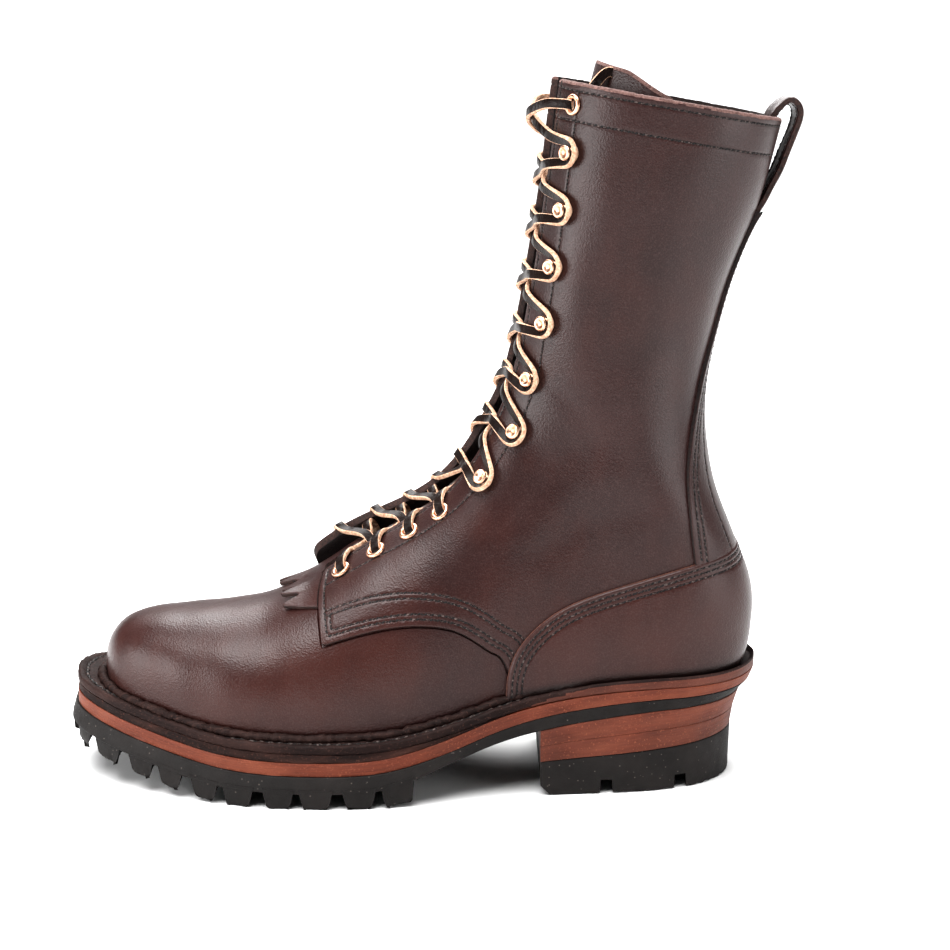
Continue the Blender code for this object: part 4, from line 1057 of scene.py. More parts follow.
def build_quarter(side, half):
    """One quarter with its half of the shaft, lined inside."""
    place = FORM["place"]
    first_row, other_rows = LOWER_ROWS[:1], LOWER_ROWS[1:]
    fields = dict(FIELDS)
    fields["edge"] = rounded_corner(FIELDS["quarter"], FIELDS["throat"], CORNER_ROUND[side])
    fields["pair"] = FIELDS["lower"] + UPPER_ROWS_CLOSE * ease(place[..., 0], *PAIR_CLOSE_X)
    fields["cut"] = FIELDS["collar"] + COLLAR_UNEVEN * waves(place, 2.5, 6.0, 31)
    splits = [
        ("edge", EDGE_LEVELS + row_levels(first_row)), ("quarter", row_levels(other_rows)),
        ("pair", row_levels(UPPER_ROWS)), ("throat", row_levels((EYESTAY_ROW,))),
        ("cut", EDGE_LEVELS), ("collar", row_levels(COLLAR_ROWS)),
    ]
    sheet = patch(half, ["sole", "edge", "cut"], splits, sections(7), fields)
    edge, cut, collar = sheet["edge"], sheet["cut"], sheet["collar"]
    low = (sheet["lower"] < UPPER_ROWS[0]) & (edge > LOWER_ROWS[0])
    wide = sheet["front"] > LOWER_ROWS[0]
    stay = (sheet["quarter"] > LOWER_ROWS[0]) & (collar > COLLAR_ROWS[0])
    high = QUARTER_HIGH + rolled(edge, CUT_ROLL) + rolled(cut, COLLAR_ROLL)
    high += grooves(edge, first_row) + np.where(low, grooves(sheet["quarter"], other_rows), 0)
    high += np.where(wide, grooves(sheet["pair"], UPPER_ROWS), 0)
    high += np.where(stay, grooves(sheet["throat"], (EYESTAY_ROW,)), 0) + grooves(collar, COLLAR_ROWS)
    low_face = np.full(len(high), -UPPER_WALL)
    if side == "inner":
        rise = far_lift(sheet["row"] / ROWS_PER_SECTION, sheet["throat"])
        high, low_face = high + rise, low_face + rise
    panel(f"quarter_{side}", sheet, high, low_face, ["leather", "cut_edge", "suede", "collar_edge"],
          np.minimum(edge, cut), cut < COLLAR_FRAY, replaces=["upper"], slot="leather")
    visible = sheet["counter"] < COUNTER_COVERS
    sewn_rows = [("edge", LOWER_ROWS[0], visible & (collar > 1)), ("quarter", LOWER_ROWS[1], low & visible)]
    sewn_rows += [("pair", value, wide & visible) for value in UPPER_ROWS]
    sewn_rows.append(("throat", EYESTAY_ROW, stay))
    sewn_rows += [("collar", value, edge > LOWER_ROWS[0]) for value in COLLAR_ROWS]
    for field, value, where in sewn_rows:
        STITCH_ROWS.extend(sewn(sheet, field, value, where))


COUNTER_SWELL = 0.9               # the counter stands out below its rows
COUNTER_SWELL_OVER = 30.0
COUNTER_ROLL = 1.1
COUNTER_GROOVE = 0.35
OVERLAY_UNDER = QUARTER_HIGH - 0.4   # the overlays' undersides lie in the quarters


def build_counter():
    """Counter round the heel, over the quarters."""
    splits = [("counter", EDGE_LEVELS + row_levels(COUNTER_ROWS))]
    sheet = patch(SEAT_CENTRED, ["sole", "counter"], splits, sections(13, 27))
    edge = sheet["counter"]
    swell = np.sin(np.pi * np.clip((edge - COUNTER_ROWS[-1]) / COUNTER_SWELL_OVER, 0, 1))
    high = COUNTER_HIGH + rolled(edge, COUNTER_ROLL) + grooves(edge, COUNTER_ROWS, COUNTER_GROOVE)
    high += COUNTER_SWELL * swell
    panel("counter_cover", sheet, high, np.full(len(high), OVERLAY_UNDER), ["leather", "red_edge", "suede"],
          edge, replaces=["counter"], slot="leather")
    for value in COUNTER_ROWS:
        STITCH_ROWS.extend(sewn(sheet, "counter", value))


BACKSTAY_ROLL = 0.3
BACKSTAY_TUCK = 6.0               # its foot runs this far under the counter
BACKSTAY_FLARE = (1.4, 5.0)       # its top stands off by this much, over this length
BACKSTAY_WORN = 2.0               # its edges show less wear, as if this much further away
BACK_ARC = 60.0                   # the back of the form is at least this far from the ridge
BACK_ARC_SURE = 75.0
OUTSIDE = -50.0                   # value of a field where it has no meaning


def build_backstay():
    """Strip up the back seam, its foot tucked under the counter."""
    place = FORM["place"]
    shape = place.shape[:2]
    rows = sections(18)
    edge, back = np.full(shape, OUTSIDE), np.full(shape, OUTSIDE)
    for half, sign in ((OUTER_HALF, -1), (INNER_HALF, 1)):
        behind = FORM["arc"][rows, half] > BACK_ARC_SURE
        cloud = place[rows, half][behind]
        laid = list(on_form(evenly(curve(BACKSTAY_FOOT), 60), half))
        for point in evenly(curve([(sign * wide, z) for z, wide in BACKSTAY]), 60):
            near = np.argpartition(((cloud[:, 1:] - point) ** 2).sum(axis=1), 5)[:5]
            laid.append((cloud[near, 0].mean(), *point))
        laid = np.array(laid)
        solid = place[:, half].reshape(-1, 3)
        edge_x, edge_y = (np.interp(solid[:, 2], laid[:, 2], np.abs(laid[:, k])) for k in (0, 1))
        between = np.where(solid[:, 2] < BACKSTAY[0][0], solid[:, 0] > edge_x, np.abs(solid[:, 1]) < edge_y)
        away = line_distance(solid, laid)
        edge[:, half] = np.where(between, away, -away).reshape(shape[0], -1)
        back[:, half] = (np.abs(solid[:, 1]) - BACK_ROW * edge_y).reshape(shape[0], -1)
    behind = FORM["arc"] - BACK_ARC
    fields = dict(FIELDS, backstay=np.minimum(edge, behind), above=BACKSTAY_TOP - place[..., 2],
                  foot=BACKSTAY_TUCK - FIELDS["counter"], back=np.where(behind > 0, back, OUTSIDE))
    splits = [("backstay", EDGE_LEVELS + row_levels(BACKSTAY_ROWS)), ("back", row_levels((0.0,)))]
    sheet = patch(SEAT_CENTRED, ["backstay", "above", "foot"], splits, rows, fields)
    edge = sheet["backstay"]
    low = sheet["place"][:, 2] < BACK_ROW_TOP
    flare, flare_over = BACKSTAY_FLARE
    high = BACKSTAY_HIGH + rolled(edge, BACKSTAY_ROLL) + grooves(edge, BACKSTAY_ROWS)
    high += np.where(low, grooves(sheet["back"], (0.0,)), 0) + flare * np.exp(-sheet["above"] / flare_over)
    panel("backstay_strip", sheet, high, np.full(len(high), OVERLAY_UNDER),
          ["leather", "dark_edge", "suede"], edge + BACKSTAY_WORN, replaces=["backstay"], slot="leather")
    clear = sheet["counter"] < -COUNTER_COVERS
    for value in BACKSTAY_ROWS:
        STITCH_ROWS.extend(sewn(sheet, "backstay", value, clear))
    STITCH_ROWS.extend(sewn(sheet, "back", 0.0, clear & low))


def polygon_distance(points, polygon):
    """Signed distance to a closed outline, positive inside."""
    ring = np.concatenate([polygon, polygon[:1]])
    return np.where(inside(points, polygon), 1.0, -1.0) * line_distance(points, ring)


def build_kiltie():
    """Fringed tongue on the vamp, in front of the quarters and under the lowest laces."""
    def tip_x(y):
        return KILTIE_TIP_X - KILTIE_TIP_SWEEP * (y + KILTIE_HALF) / 2

    outline = list(KILTIE_ROOT)
    width = 2 * KILTIE_HALF / KILTIE_STRIPS
    for strip in range(KILTIE_STRIPS):
        start = -KILTIE_HALF + strip * width
        end = start + width
        outline += [(tip_x(y), y) for y in (start + KILTIE_CUT_HALF, end - KILTIE_CUT_HALF)]
        if strip < KILTIE_STRIPS - 1:
            outline.append((tip_x(end) + KILTIE_CUT_LONG, end))
    place = FORM["place"]
    fringe = polygon_distance(place[..., :2].reshape(-1, 2), np.array(outline)).reshape(place.shape[:2])
    across = place[..., 1]
    in_throat = np.minimum(across - KILTIE_THROAT[0], KILTIE_THROAT[1] - across)
    ahead = np.maximum(-FIELDS["quarter"] - KILTIE_CLEAR, in_throat)
    fields = dict(FIELDS, fringe=fringe, ahead=ahead, on_top=place[..., 2] - KILTIE_LOW_Z)
    columns = slice(COLUMNS - KILTIE_COLUMNS, COLUMNS + KILTIE_COLUMNS + 1)
    sheet = patch(columns, ["fringe", "ahead", "on_top"], [("fringe", EDGE_LEVELS)], sections(5, 14), fields)
    x, y = sheet["place"][:, :2].T
    mean, change, rate = KILTIE_CURL
    tip = ease(x, *(KILTIE_TIP_X + behind for behind in KILTIE_CURL_FROM))
    strip = np.floor((y + KILTIE_HALF) / width)
    curl = tip * (mean + change * np.sin(strip * rate)) - KILTIE_SINK * ease(x, *KILTIE_SINK_X)
    high = KILTIE_HIGH + curl + rolled(sheet["fringe"], CUT_ROLL)
    panel("kiltie_fringe", sheet, high, KILTIE_UNDER + curl - KILTIE_TIP_THICKER * tip,
          ["leather", "cut_edge", "suede"], sheet["fringe"], replaces=["kiltie"], slot="leather")


def closed_sheet(name, top, below, materials, values=None, rim_rows=0, **options):
    """Closed piece between two matching grids of points. Materials: top, rim, underside.

    The last rim_rows rows of both faces have the rim's material too.
    """
    rows, columns = top.shape[:2]
    count = rows * columns
    cells = grid_cells(rows, columns)
    middle = cells[len(cells) // 2][:3]
    a, b, c = top.reshape(-1, 3)[middle]
    outward = (top - below).reshape(-1, 3)[middle[0]]
    faces = cells.tolist()
    if np.cross(b - a, c - a) @ outward < 0:
        faces = [face[::-1] for face in faces]
    polygons, slots = closed(faces, count)
    for end in (len(faces), 2 * len(faces)):
        slots[end - rim_rows * (columns - 1):end] = 1
    flat = {"tint": np.zeros(2 * count), "wear": np.zeros(2 * count)}
    flat.update(values or {})
    points = np.concatenate([top.reshape(-1, 3), below.reshape(-1, 3)])
    return add_piece(name, points, polygons, materials, slots, flat, **options)


TONGUE_ROWS = 110
TONGUE_COLUMNS = 44
TONGUE_RIM = 0.996                # part of its length where the frayed top edge starts
TONGUE_BENDS_FROM = 0.8           # part of its length where its corners start to bend
TONGUE_CORNER = (7.0, 1.5, -1.5)  # the outer top corner hangs back by this much
TONGUE_TIP = (-4.6, 0.0, -6.0)    # and its tip falls from there,
TONGUE_TIP_FROM = 0.7             # from this part of its half width on
TONGUE_TIP_BEND = 1.3
TONGUE_FAR_CORNER = (0.0, 0.0, -12.0)
TONGUE_WAVE = 0.5
TONGUE_ROUND = 0.5                # its faces fall by this much at the rim


def build_tongue():
    """Tongue behind the throat, standing above the collar."""
    spread = np.linspace(-1, 1, TONGUE_COLUMNS)[None]
    part = np.append(np.linspace(0, TONGUE_RIM, TONGUE_ROWS - 3), np.linspace(TONGUE_RIM, 1, 4)[1:])[:, None]
    first, last = TONGUE[0][0], TONGUE[-1][0]
    stations = first + (last - first - TONGUE_SHOULDER * spread ** 2) * part
    half, lean = column_at(TONGUE, stations, 1), column_at(TONGUE, stations, 2)
    place, normal = near_ridge(stations, half * spread + BESIDE_RIDGE)
    values = blend(SECTIONS, stations)
    back = np.stack([values[..., TOP_X] - values[..., SEAT_X], 0 * stations,
                     values[..., TOP_Z] - values[..., SEAT_Z]], axis=-1)
    place = place - normal * TONGUE_DEPTH - unit(back) * lean[..., None]
    near_top = ease(part, TONGUE_BENDS_FROM, 1.0)
    tip = np.clip((-spread - TONGUE_TIP_FROM) / (1 - TONGUE_TIP_FROM), 0, 1) ** TONGUE_TIP_BEND
    bends = [(ease(-spread, 0.5, 1.0), TONGUE_CORNER), (tip, TONGUE_TIP),
             (ease(spread, 0.0, 1.0), TONGUE_FAR_CORNER)]
    for share, shift in bends:
        place = place + (share * near_top)[..., None] * np.array(shift)
    normal = unit(np.cross(np.gradient(place, axis=0), np.gradient(place, axis=1)))
    if normal[TONGUE_ROWS // 2, TONGUE_COLUMNS // 2, 0] > 0:
        normal = -normal
    rim = np.minimum(1 - np.abs(spread), np.minimum(part, 1 - part) * 8)
    wave = TONGUE_WAVE * waves(place, 25, 70, 21) * np.clip(rim * 4, 0, 1)
    fall = TONGUE_ROUND * np.exp(-rim * 30)
    top = place + normal * (wave - fall)[..., None]
    below = place + normal * (wave - TONGUE_WALL + fall)[..., None]
    closed_sheet("tongue_sheet", top, below, ["leather", "collar_edge", "suede"], rim_rows=2,
                 replaces=["tongue"], slot="leather")


LOOP_STEPS = 90
LOOP_COLUMNS = 25
LOOP_ROUND = 0.5                  # its faces fall by this much at the edges
LOOP_WAVE = 0.25
LOOP_SEAM = 4                     # columns from each edge to its row of stitches


def build_loop():
    """Pull loop: a folded strap with stitched edges."""
    path = evenly(curve(LOOP_PATH, 10), LOOP_STEPS)
    run = unit(np.gradient(path, axis=0))
    out = np.stack([-run[:, 1], run[:, 0]], axis=1)
    spread = np.linspace(-1, 1, LOOP_COLUMNS)
    fall = LOOP_ROUND * np.clip(np.abs(spread) * 6 - 5, 0, 1) ** 2
    half = LOOP_THICK / 2

    def at(height):
        flat = path[:, None] + out[:, None] * height[None, :, None]
        y = np.broadcast_to(spread * LOOP_WIDTH / 2, flat.shape[:2])
        return np.stack([flat[..., 0], y, flat[..., 1]], axis=-1)

    wave = LOOP_WAVE * waves(at(0 * spread), 8, 25, 5)[..., None]
    top, below = at(half - fall), at(fall - half)
    side = unit(top - below)
    top, below = top + side * wave, below + side * wave
    wear = np.tile(np.exp(-(1 - np.abs(spread)) * 9), 2 * LOOP_STEPS)
    closed_sheet("pull_strap", top, below, ["leather", "cut_edge", "leather"], {"wear": wear},
                 replaces=["pull_loop"], slot="leather")
    along = slice(LOOP_SEAM, -LOOP_SEAM)
    for column in (LOOP_SEAM, -LOOP_SEAM - 1):
        STITCH_ROWS.append((top[along, column], side[along, column]))


# Sole

EDGE_STEPS = 12                   # points along the edge for each row of the outline


def sole_edge(first, last):
    """Closed plan of the sole between two stations: heel to toe outside, then toe to heel inside."""
    stations = np.linspace(last, first, int((last - first) * EDGE_STEPS) + 1)
    outer = blend(OUTLINE, stations)[:, :2]
    inner = blend(OUTLINE, stations[::-1])[:, [0, 2]]

    def tip(start, start_run, end, end_run):
        """Points across an end of the plan: round, or straight where the edge runs along the foot."""
        t = np.linspace(0, 1, 9)[1:-1, None]
        size = np.linalg.norm(end - start)
        if abs(start_run[0]) > abs(start_run[1]):
            return start + (end - start) * t
        return ((2 * t ** 3 - 3 * t ** 2 + 1) * start + (t ** 3 - 2 * t ** 2 + t) * size * start_run
                + (3 * t ** 2 - 2 * t ** 3) * end + (t ** 3 - t ** 2) * size * end_run)

    toe = tip(outer[-1], unit(outer[-1] - outer[-2]), inner[0], unit(inner[1] - inner[0]))
    heel = tip(inner[-1], unit(inner[-1] - inner[-2]), outer[0], unit(outer[1] - outer[0]))
    plan = np.concatenate([outer, toe, inner, heel])
    run = unit(np.roll(plan, -1, axis=0) - np.roll(plan, 1, axis=0))
    inward = np.stack([run[:, 1], -run[:, 0]], axis=1)
    return {"plan": plan, "inward": inward, "count": len(outer), "tip": len(toe),
            "run": lengths_along(plan)}


def heel_inset(name, flare=0.0):
    """Inset along the sole: the heel's taper at the named level, and a flare at the forefoot."""
    return lambda x: (BACK_INSET[name] * ease(x, TAPER_FROM_X, TAPER_TO_X)
                      - flare * (1 - ease(x, LUG_END_X, FLARE_END_X)))


def flush(x):
    return 0 * x


def loop_at(edge, inset, height):
    """One loop round the sole's edge, moved in and at a height given by its x."""
    x = edge["plan"][:, 0]
    flat = edge["plan"] + edge["inward"] * np.broadcast_to(inset(x), x.shape)[:, None]
    return np.column_stack([flat, np.broadcast_to(height(flat[:, 0]), x.shape)])


def slab(edge, loops):
    """Points and polygons of a closed layer through loops from its top rim to its bottom rim."""
    size, count, tip = len(edge["plan"]), edge["count"], edge["tip"]
    polygons = rings_joined(len(loops), size, capped=False)
    last_inner = 2 * count + tip - 1
    cap = [[i, last_inner - i, last_inner - i - 1, i + 1] for i in range(count - 1)]
    cap.append(list(range(count - 1, count + tip + 1))[::-1])
    cap.append([*range(last_inner, size), 0][::-1])
    base = (len(loops) - 1) * size
    polygons += cap
    polygons += [[base + i for i in reversed(polygon)] for polygon in cap]
    return np.concatenate(loops), polygons


def grain_of(edge, depths):
    """Place in the leather's layers for loops at depths: length round the edge, 0 and depth."""
    run = edge["run"]
    return np.concatenate([np.column_stack([run, 0 * run, 0 * run + depth]) for depth in depths])


def layer(name, material, edge, top, bottom, insets, corner, bands, rough, seed, torn=0.0, **options):
    """Sole layer with rounded rims, a slightly uneven side and, where torn, a ragged lower rim.

    top, bottom and the two insets are functions of x.
    """
    loops, depth = [], []
    top_inset, bottom_inset = insets
    turns = [(corner * (1 - math.sin(angle)), corner * (1 - math.cos(angle)))
             for angle in np.radians((90, 60, 30, 0))]
    for fall, more in turns:
        loops.append(loop_at(edge, lambda x: top_inset(x) + more, lambda x: top(x) - fall))
        depth.append(0.0)
    for part in np.linspace(0, 1, bands + 1)[1:-1]:
        loops.append(loop_at(edge, lambda x: top_inset(x) * (1 - part) + bottom_inset(x) * part,
                             lambda x: (top(x) - corner) * (1 - part) + (bottom(x) + corner) * part))
        depth.append(part)
    for rise, more in turns[::-1]:
        loops.append(loop_at(edge, lambda x: bottom_inset(x) + more, lambda x: bottom(x) + rise))
        depth.append(1.0)
    out = np.column_stack([-edge["inward"], 0 * edge["run"]])
    loops = [loop + out * (rough * waves(loop, 4, 22, seed + i // 3))[:, None]
             for i, loop in enumerate(loops)]
    for loop in loops[-3:] if torn else ():
        inward = np.column_stack([edge["inward"], np.ones(len(loop))])
        loop += inward * (torn * np.clip(waves(loop, 3, 11, seed + 50), 0, None))[:, None]
    thick = float(np.mean(loops[0][:, 2] - loops[-1][:, 2]))
    values = {"grain": grain_of(edge, [part * thick for part in depth])}
    return add_piece(name, *slab(edge, loops), [material], values=values, sharp=40.0, **options)


# Heights of the layers along the foot

def welt_bottom(x):
    return level(x, WELT_TOP) - WELT_THICK


def lift_top(x):
    return TOP_LIFT_FRONT + TOP_LIFT_SLOPE * (x - BREAST_X)


def stack_split(x):
    return lift_top(x) + STACK_SPLIT * (level(x, RUBBER_BOTTOM) - lift_top(x))


def rubber_bottom(x):
    return level(x, RUBBER_BOTTOM)


FULL_EDGE = sole_edge(0.0, len(OUTLINE) - 1.0)
SLIP_EDGE = sole_edge(0.0, station_at(OUTLINE, SLIP_END_X))
HEEL_EDGE = sole_edge(station_at(OUTLINE, BREAST_X), len(OUTLINE) - 1.0)
STITCHED_TO_X = 48.0              # the welt's stitching ends here at the waist
RIM_SLANT = 34.0                  # the heel rim's colour starts this much earlier at the welt's foot
RIM_BELOW = -0.9                  # the rim's colour is on the side, from this height down
BEHIND_ALL_X = 1000.0
RIM_NARROW = (0.6, 60.0, 120.0)   # the profile is this much narrower at the heel, reached over this run
WELT_FADE = 4.0                   # its profile changes over this length to each side of the stitching's end
WELT_ROW = 4.4                    # its row, in from the edge,
WELT_ROW_DEEP = 0.7               # and under the welt's top
WELT_LUMPS = 0.22
WELT_LUMPS_TO = -1.5              # down to this height
WELT_UNEVEN = 0.12
WELT_PITCH = 4.3
WELT_LONG = 3.2
WELT_RADIUS = 0.6
WELT_PROFILE = [                  # inset, height over the welt's top: groove and ridge of the stitched edge
    (16.0, -0.6), (7.2, -0.3), (5.6, -0.1), (4.9, -0.6), (4.4, -0.8), (3.9, -0.6), (3.0, 0.0), (2.0, 0.3),
    (1.0, 0.2), (0.3, -0.3), (0.0, -1.0), (0.1, -1.9), (0.0, -2.8), (0.2, -3.5), (0.8, -4.0),
]
# Heights at the heel for the same insets
RIM_HEIGHTS = (-1.2, -1.4, -1.4, -1.3, -1.2, -1.0, -0.4, 0.4, 0.9, 0.6, -0.3, -1.9, -2.8, -3.5, -4.0)


def build_welt():
    """Welt round the sole: a stitched groove and a lumpy ridge at the forefoot, a lipped rim at the heel."""
    loops = []
    x = FULL_EDGE["plan"][:, 0]
    stitched = 1 - ease(x, STITCHED_TO_X - WELT_FADE, STITCHED_TO_X + WELT_FADE)
    narrow, start, end = RIM_NARROW
    room = 1 - narrow * ease(x, start, end)
    for (inset, high), rim in zip(WELT_PROFILE, RIM_HEIGHTS):
        loop = loop_at(FULL_EDGE, lambda _: inset * room, lambda at: level(at, WELT_TOP))
        lumps = WELT_LUMPS * waves(loop, 3, 9, 31) * (high > WELT_LUMPS_TO)
        lumps = lumps + WELT_UNEVEN * waves(loop, 2, 6, 33)
        loop[:, 2] += stitched * (high + lumps) + (1 - stitched) * rim
        loops.append(loop)
    points, polygons = slab(FULL_EDGE, loops)
    size = len(x)
    rim_from = [STITCHED_TO_X - RIM_SLANT * min(-high / WELT_THICK, 1.0) if high < RIM_BELOW else BEHIND_ALL_X
                for _, high in WELT_PROFILE]
    slots = [int(points[polygon, 0].mean() > rim_from[min(polygon) // size]) for polygon in polygons]
    values = {"grain": grain_of(FULL_EDGE, [-high for _, high in WELT_PROFILE])}
    add_piece("welt_strip", points, polygons, ["welt", "rim"], slots, values, sharp=60.0,
              replaces=["welt"], slot="edge")
    row = loop_at(FULL_EDGE, lambda _: WELT_ROW, lambda at: level(at, WELT_TOP) - WELT_ROW_DEEP)
    keep = x < STITCHED_TO_X
    first = int(np.argmax(keep))
    line = row[first:first + int(keep.sum())]
    up = np.tile((0.0, 0.0, 1.0), (len(line), 1))
    stitches("welt_stitches", [(line, up)], WELT_PITCH, WELT_LONG, WELT_RADIUS, ["thread", "painted_hole_shade"],
             slot="edge")


def sole_contour():
    """Where the leather meets the welt: points from the outer waist round the toe to the inner waist."""
    gap = FIELDS["sole"]
    lines = []
    for half, order in ((OUTER_HALF, slice(None, None, -1)), (INNER_HALF, slice(None))):
        line = []
        for row in range(len(gap)):
            values, places = gap[row, half][order], FORM["place"][row, half][order]
            below = np.nonzero(values < SOLE_TUCK)[0]
            if len(below) and below[0] > 0 and places[below[0], 0] < STITCHED_TO_X:
                k = below[0]
                part = (values[k - 1] - SOLE_TUCK) / (values[k - 1] - values[k])
                line.append(places[k - 1] + (places[k] - places[k - 1]) * part)
        lines.append(np.array(line))
    return np.concatenate([lines[0][::-1], lines[1]])


def tube(path, radii, sides=10):
    """Points and polygons of a tube along a path with a radius at each point."""
    run = unit(np.gradient(path, axis=0))
    up = np.tile((0.0, 0.0, 1.0), (len(path), 1))
    aside = unit(np.cross(run, up))
    up = np.cross(aside, run)
    turn = np.linspace(0, 2 * math.pi, sides, endpoint=False)
    ring = aside[:, None] * np.cos(turn)[None, :, None] + up[:, None] * np.sin(turn)[None, :, None]
    points = path[:, None] + ring * radii[:, None, None]
    return points.reshape(-1, 3), [polygon[::-1] for polygon in rings_joined(len(path), sides)]


BEAD_OUT = 2.1
BEAD_RADIUS = 2.1
BEAD_HIGH = 0.9                   # over the welt's top
BEAD_STEPS = 760
BEAD_SOFT = 9                     # steps to each side that its path is averaged over
BEAD_ENDS = 45                    # steps over which its ends grow thin


def build_bead():
    """Lumpy welt lip that stands against the leather."""
    path = evenly(sole_contour(), BEAD_STEPS)
    weights = np.ones(2 * BEAD_SOFT + 1) / (2 * BEAD_SOFT + 1)
    padded = np.concatenate([np.repeat(path[:1], BEAD_SOFT, 0), path, np.repeat(path[-1:], BEAD_SOFT, 0)])
    path = np.stack([np.convolve(column, weights, "valid") for column in padded.T], axis=1)
    run = unit(np.gradient(path[:, :2], axis=0))
    out = np.stack([run[:, 1], -run[:, 0]], axis=1)
    middle = path[:, :2].mean(axis=0)
    if ((path[:, :2] - middle) * out).sum() < 0:
        out = -out
    path[:, :2] += out * BEAD_OUT
    path[:, 2] = level(path[:, 0], WELT_TOP) + BEAD_HIGH + 0.25 * waves(path, 5, 14, 41)
    radii = BEAD_RADIUS * (1 + 0.13 * waves(path, 3, 8, 42))
    from_end = np.minimum(np.arange(BEAD_STEPS), np.arange(BEAD_STEPS)[::-1])
    radii *= np.minimum(1, from_end / BEAD_ENDS + 0.1)
    points, polygons = tube(path, radii)
    add_piece("welt_lip", points, polygons, ["welt"], None, {"grain": points}, slot="edge")


def trapezoid(x, widths, y_range, z_range):
    """Corner points of a groove across the sole, wider at the floor."""
    return [(x + sx * widths[0 if high else 1] / 2, y, z_range[0 if high else 1])
            for high in (False, True) for y in y_range for sx in (-1, 1)]


def cut_by(notches, piece):
    """Cut notches, given by their corners, out of a piece."""
    bm = bmesh.new()
    for corners in notches:
        verts = [bm.verts.new(point) for point in to_scene(corners)]
        bmesh.ops.convex_hull(bm, input=verts)
    mesh = bpy.data.meshes.new("cutter")
    bm.to_mesh(mesh)
    bm.free()
    cutter = bpy.data.objects.new("cutter", mesh)
    bpy.context.scene.collection.objects.link(cutter)
    cut = piece.modifiers.new("grooves", "BOOLEAN")
    cut.operation = "DIFFERENCE"
    cut.solver = "EXACT"
    cut.object = cutter
    bpy.context.view_layer.update()
    made = bpy.data.meshes.new_from_object(piece.evaluated_get(bpy.context.evaluated_depsgraph_get()))
    piece.modifiers.clear()
    old, piece.data = piece.data, made
    bpy.data.meshes.remove(old)
    bpy.data.objects.remove(cutter)
    made.set_sharp_from_angle(angle=math.radians(35))


LUG_LEVELS = [                    # part of the way down, inset at the worn foot, torn edge
    (0.0, 0.0, 0.0), (0.3, 0.0, 0.0), (0.6, 0.05, 0.08), (0.82, 0.2, 0.2), (0.94, 0.6, 0.3), (1.0, 1.5, 0.3),
]
LUG_WIDE = (3.6, 8.0)             # every second groove: width at its roof and at the floor
LUG_NARROW = (1.8, 6.0)
LUG_STEPS = 14                    # points along each side of a lug
LUG_ENDS = 8                      # and along each end
LUG_BAR_GAP = 0.6                 # of the centre gap, between the blocks and the bar
LUG_BAR_LEAST = 4.0               # no bar is narrower
LUG_TOE_BACK = 0.6                # the first lug starts this far behind the flared edge
LUG_EDGE_LAST = station_at(OUTLINE, LUG_END_X)


def lug_plan():
    """A function that gives a lug's outline and least width at a part of its height.

    Its number counts from the toe; its kind is 1 or 2 for the block at a side and 0 for the bar between.
    """
    ends = [OUTLINE[0][0] - LUG_FLARE + LUG_TOE_BACK, *LUG_NOTCH_X, LUG_END_X]
    notches = [LUG_WIDE if n % 2 else LUG_NARROW for n in range(len(LUG_NOTCH_X))]
    widths = np.array([(0.0, 0.0), *notches, (0.0, 0.0)])
    table = blend(OUTLINE, np.linspace(0, LUG_EDGE_LAST, 400))
    flared = table[:, 1] - LUG_FLARE, table[:, 2] + LUG_FLARE

    def ring_at(n, part, kind):
        half = 0.5 * (widths[n:n + 2, 0] * (1 - part) + widths[n:n + 2, 1] * part)
        along = np.linspace(ends[n] + half[0], ends[n + 1] - half[1], LUG_STEPS)
        outer, inner = (np.interp(along, table[:, 0], side) for side in flared)
        block = np.minimum(LUG_BLOCK_DEPTH, (inner - outer) / 2 - LUG_CENTRE_GAP)
        gap = block + LUG_BAR_GAP * LUG_CENTRE_GAP
        first, second = (outer + gap, inner - gap) if n else (outer, inner)
        if kind == 1:
            first, second = outer, outer + block
        elif kind == 2:
            first, second = inner - block, inner
        near, far = np.column_stack([along, first]), np.column_stack([along, second])[::-1]
        front, back = (np.linspace(a[-1], b[0], LUG_ENDS)[1:-1] for a, b in ((far, near), (near, far)))
        sides = [near, back, far, front] if n else [near, far]
        return np.concatenate(sides), float((second - first).min())

    return ring_at


def build_lugs():
    """Separate lugs under the forefoot: blocks along both edges and bars across the middle."""
    points, polygons = [], []
    ring_at = lug_plan()
    lugs = [(0, 0)]
    for n in range(1, len(LUG_NOTCH_X) + 1):
        lugs += [(n, 1), (n, 2)]
        if ring_at(n, 0.0, 0)[1] >= LUG_BAR_LEAST:
            lugs.append((n, 0))
    for n, kind in lugs:
        seed = 100 + 10 * n + 3 * kind
        first = sum(map(len, points))
        for part, inset, torn in LUG_LEVELS:
            flat = ring_at(n, part, kind)[0]
            run = unit(np.roll(flat, -1, axis=0) - np.roll(flat, 1, axis=0))
            flat = flat + np.stack([-run[:, 1], run[:, 0]], axis=1) * inset
            root = level(flat[:, 0], RUBBER_BOTTOM) + LUG_ROOT
            foot = np.maximum(level(flat[:, 0], TREAD), 0.0)
            loop = np.column_stack([flat, root * (1 - part) + foot * part])
            loop += torn * np.stack([waves(loop, 2, 7, seed + k) for k in range(3)], axis=1)
            loop[:, 2] = np.maximum(loop[:, 2], 0.0)
            points.append(loop)
        skin = rings_joined(len(LUG_LEVELS), len(loop), first)
        polygons += [wall[:1] + wall[:0:-1] for wall in skin[:-2]]
        polygons += [cap[::-1] for cap in skin[-2:]]
    add_piece("forefoot_lugs", np.concatenate(points), polygons, ["rubber"], sharp=38.0, replaces=["outsole"],
              slot="rubber")


LAYER_GAP = 0.05                  # layers stand this far from where they meet
NOTCH_OUT = 30.0                  # the heel's notches start this far outside its edge
NOTCH_LOW = -10.0
CHAMFER_OUT = 4.0


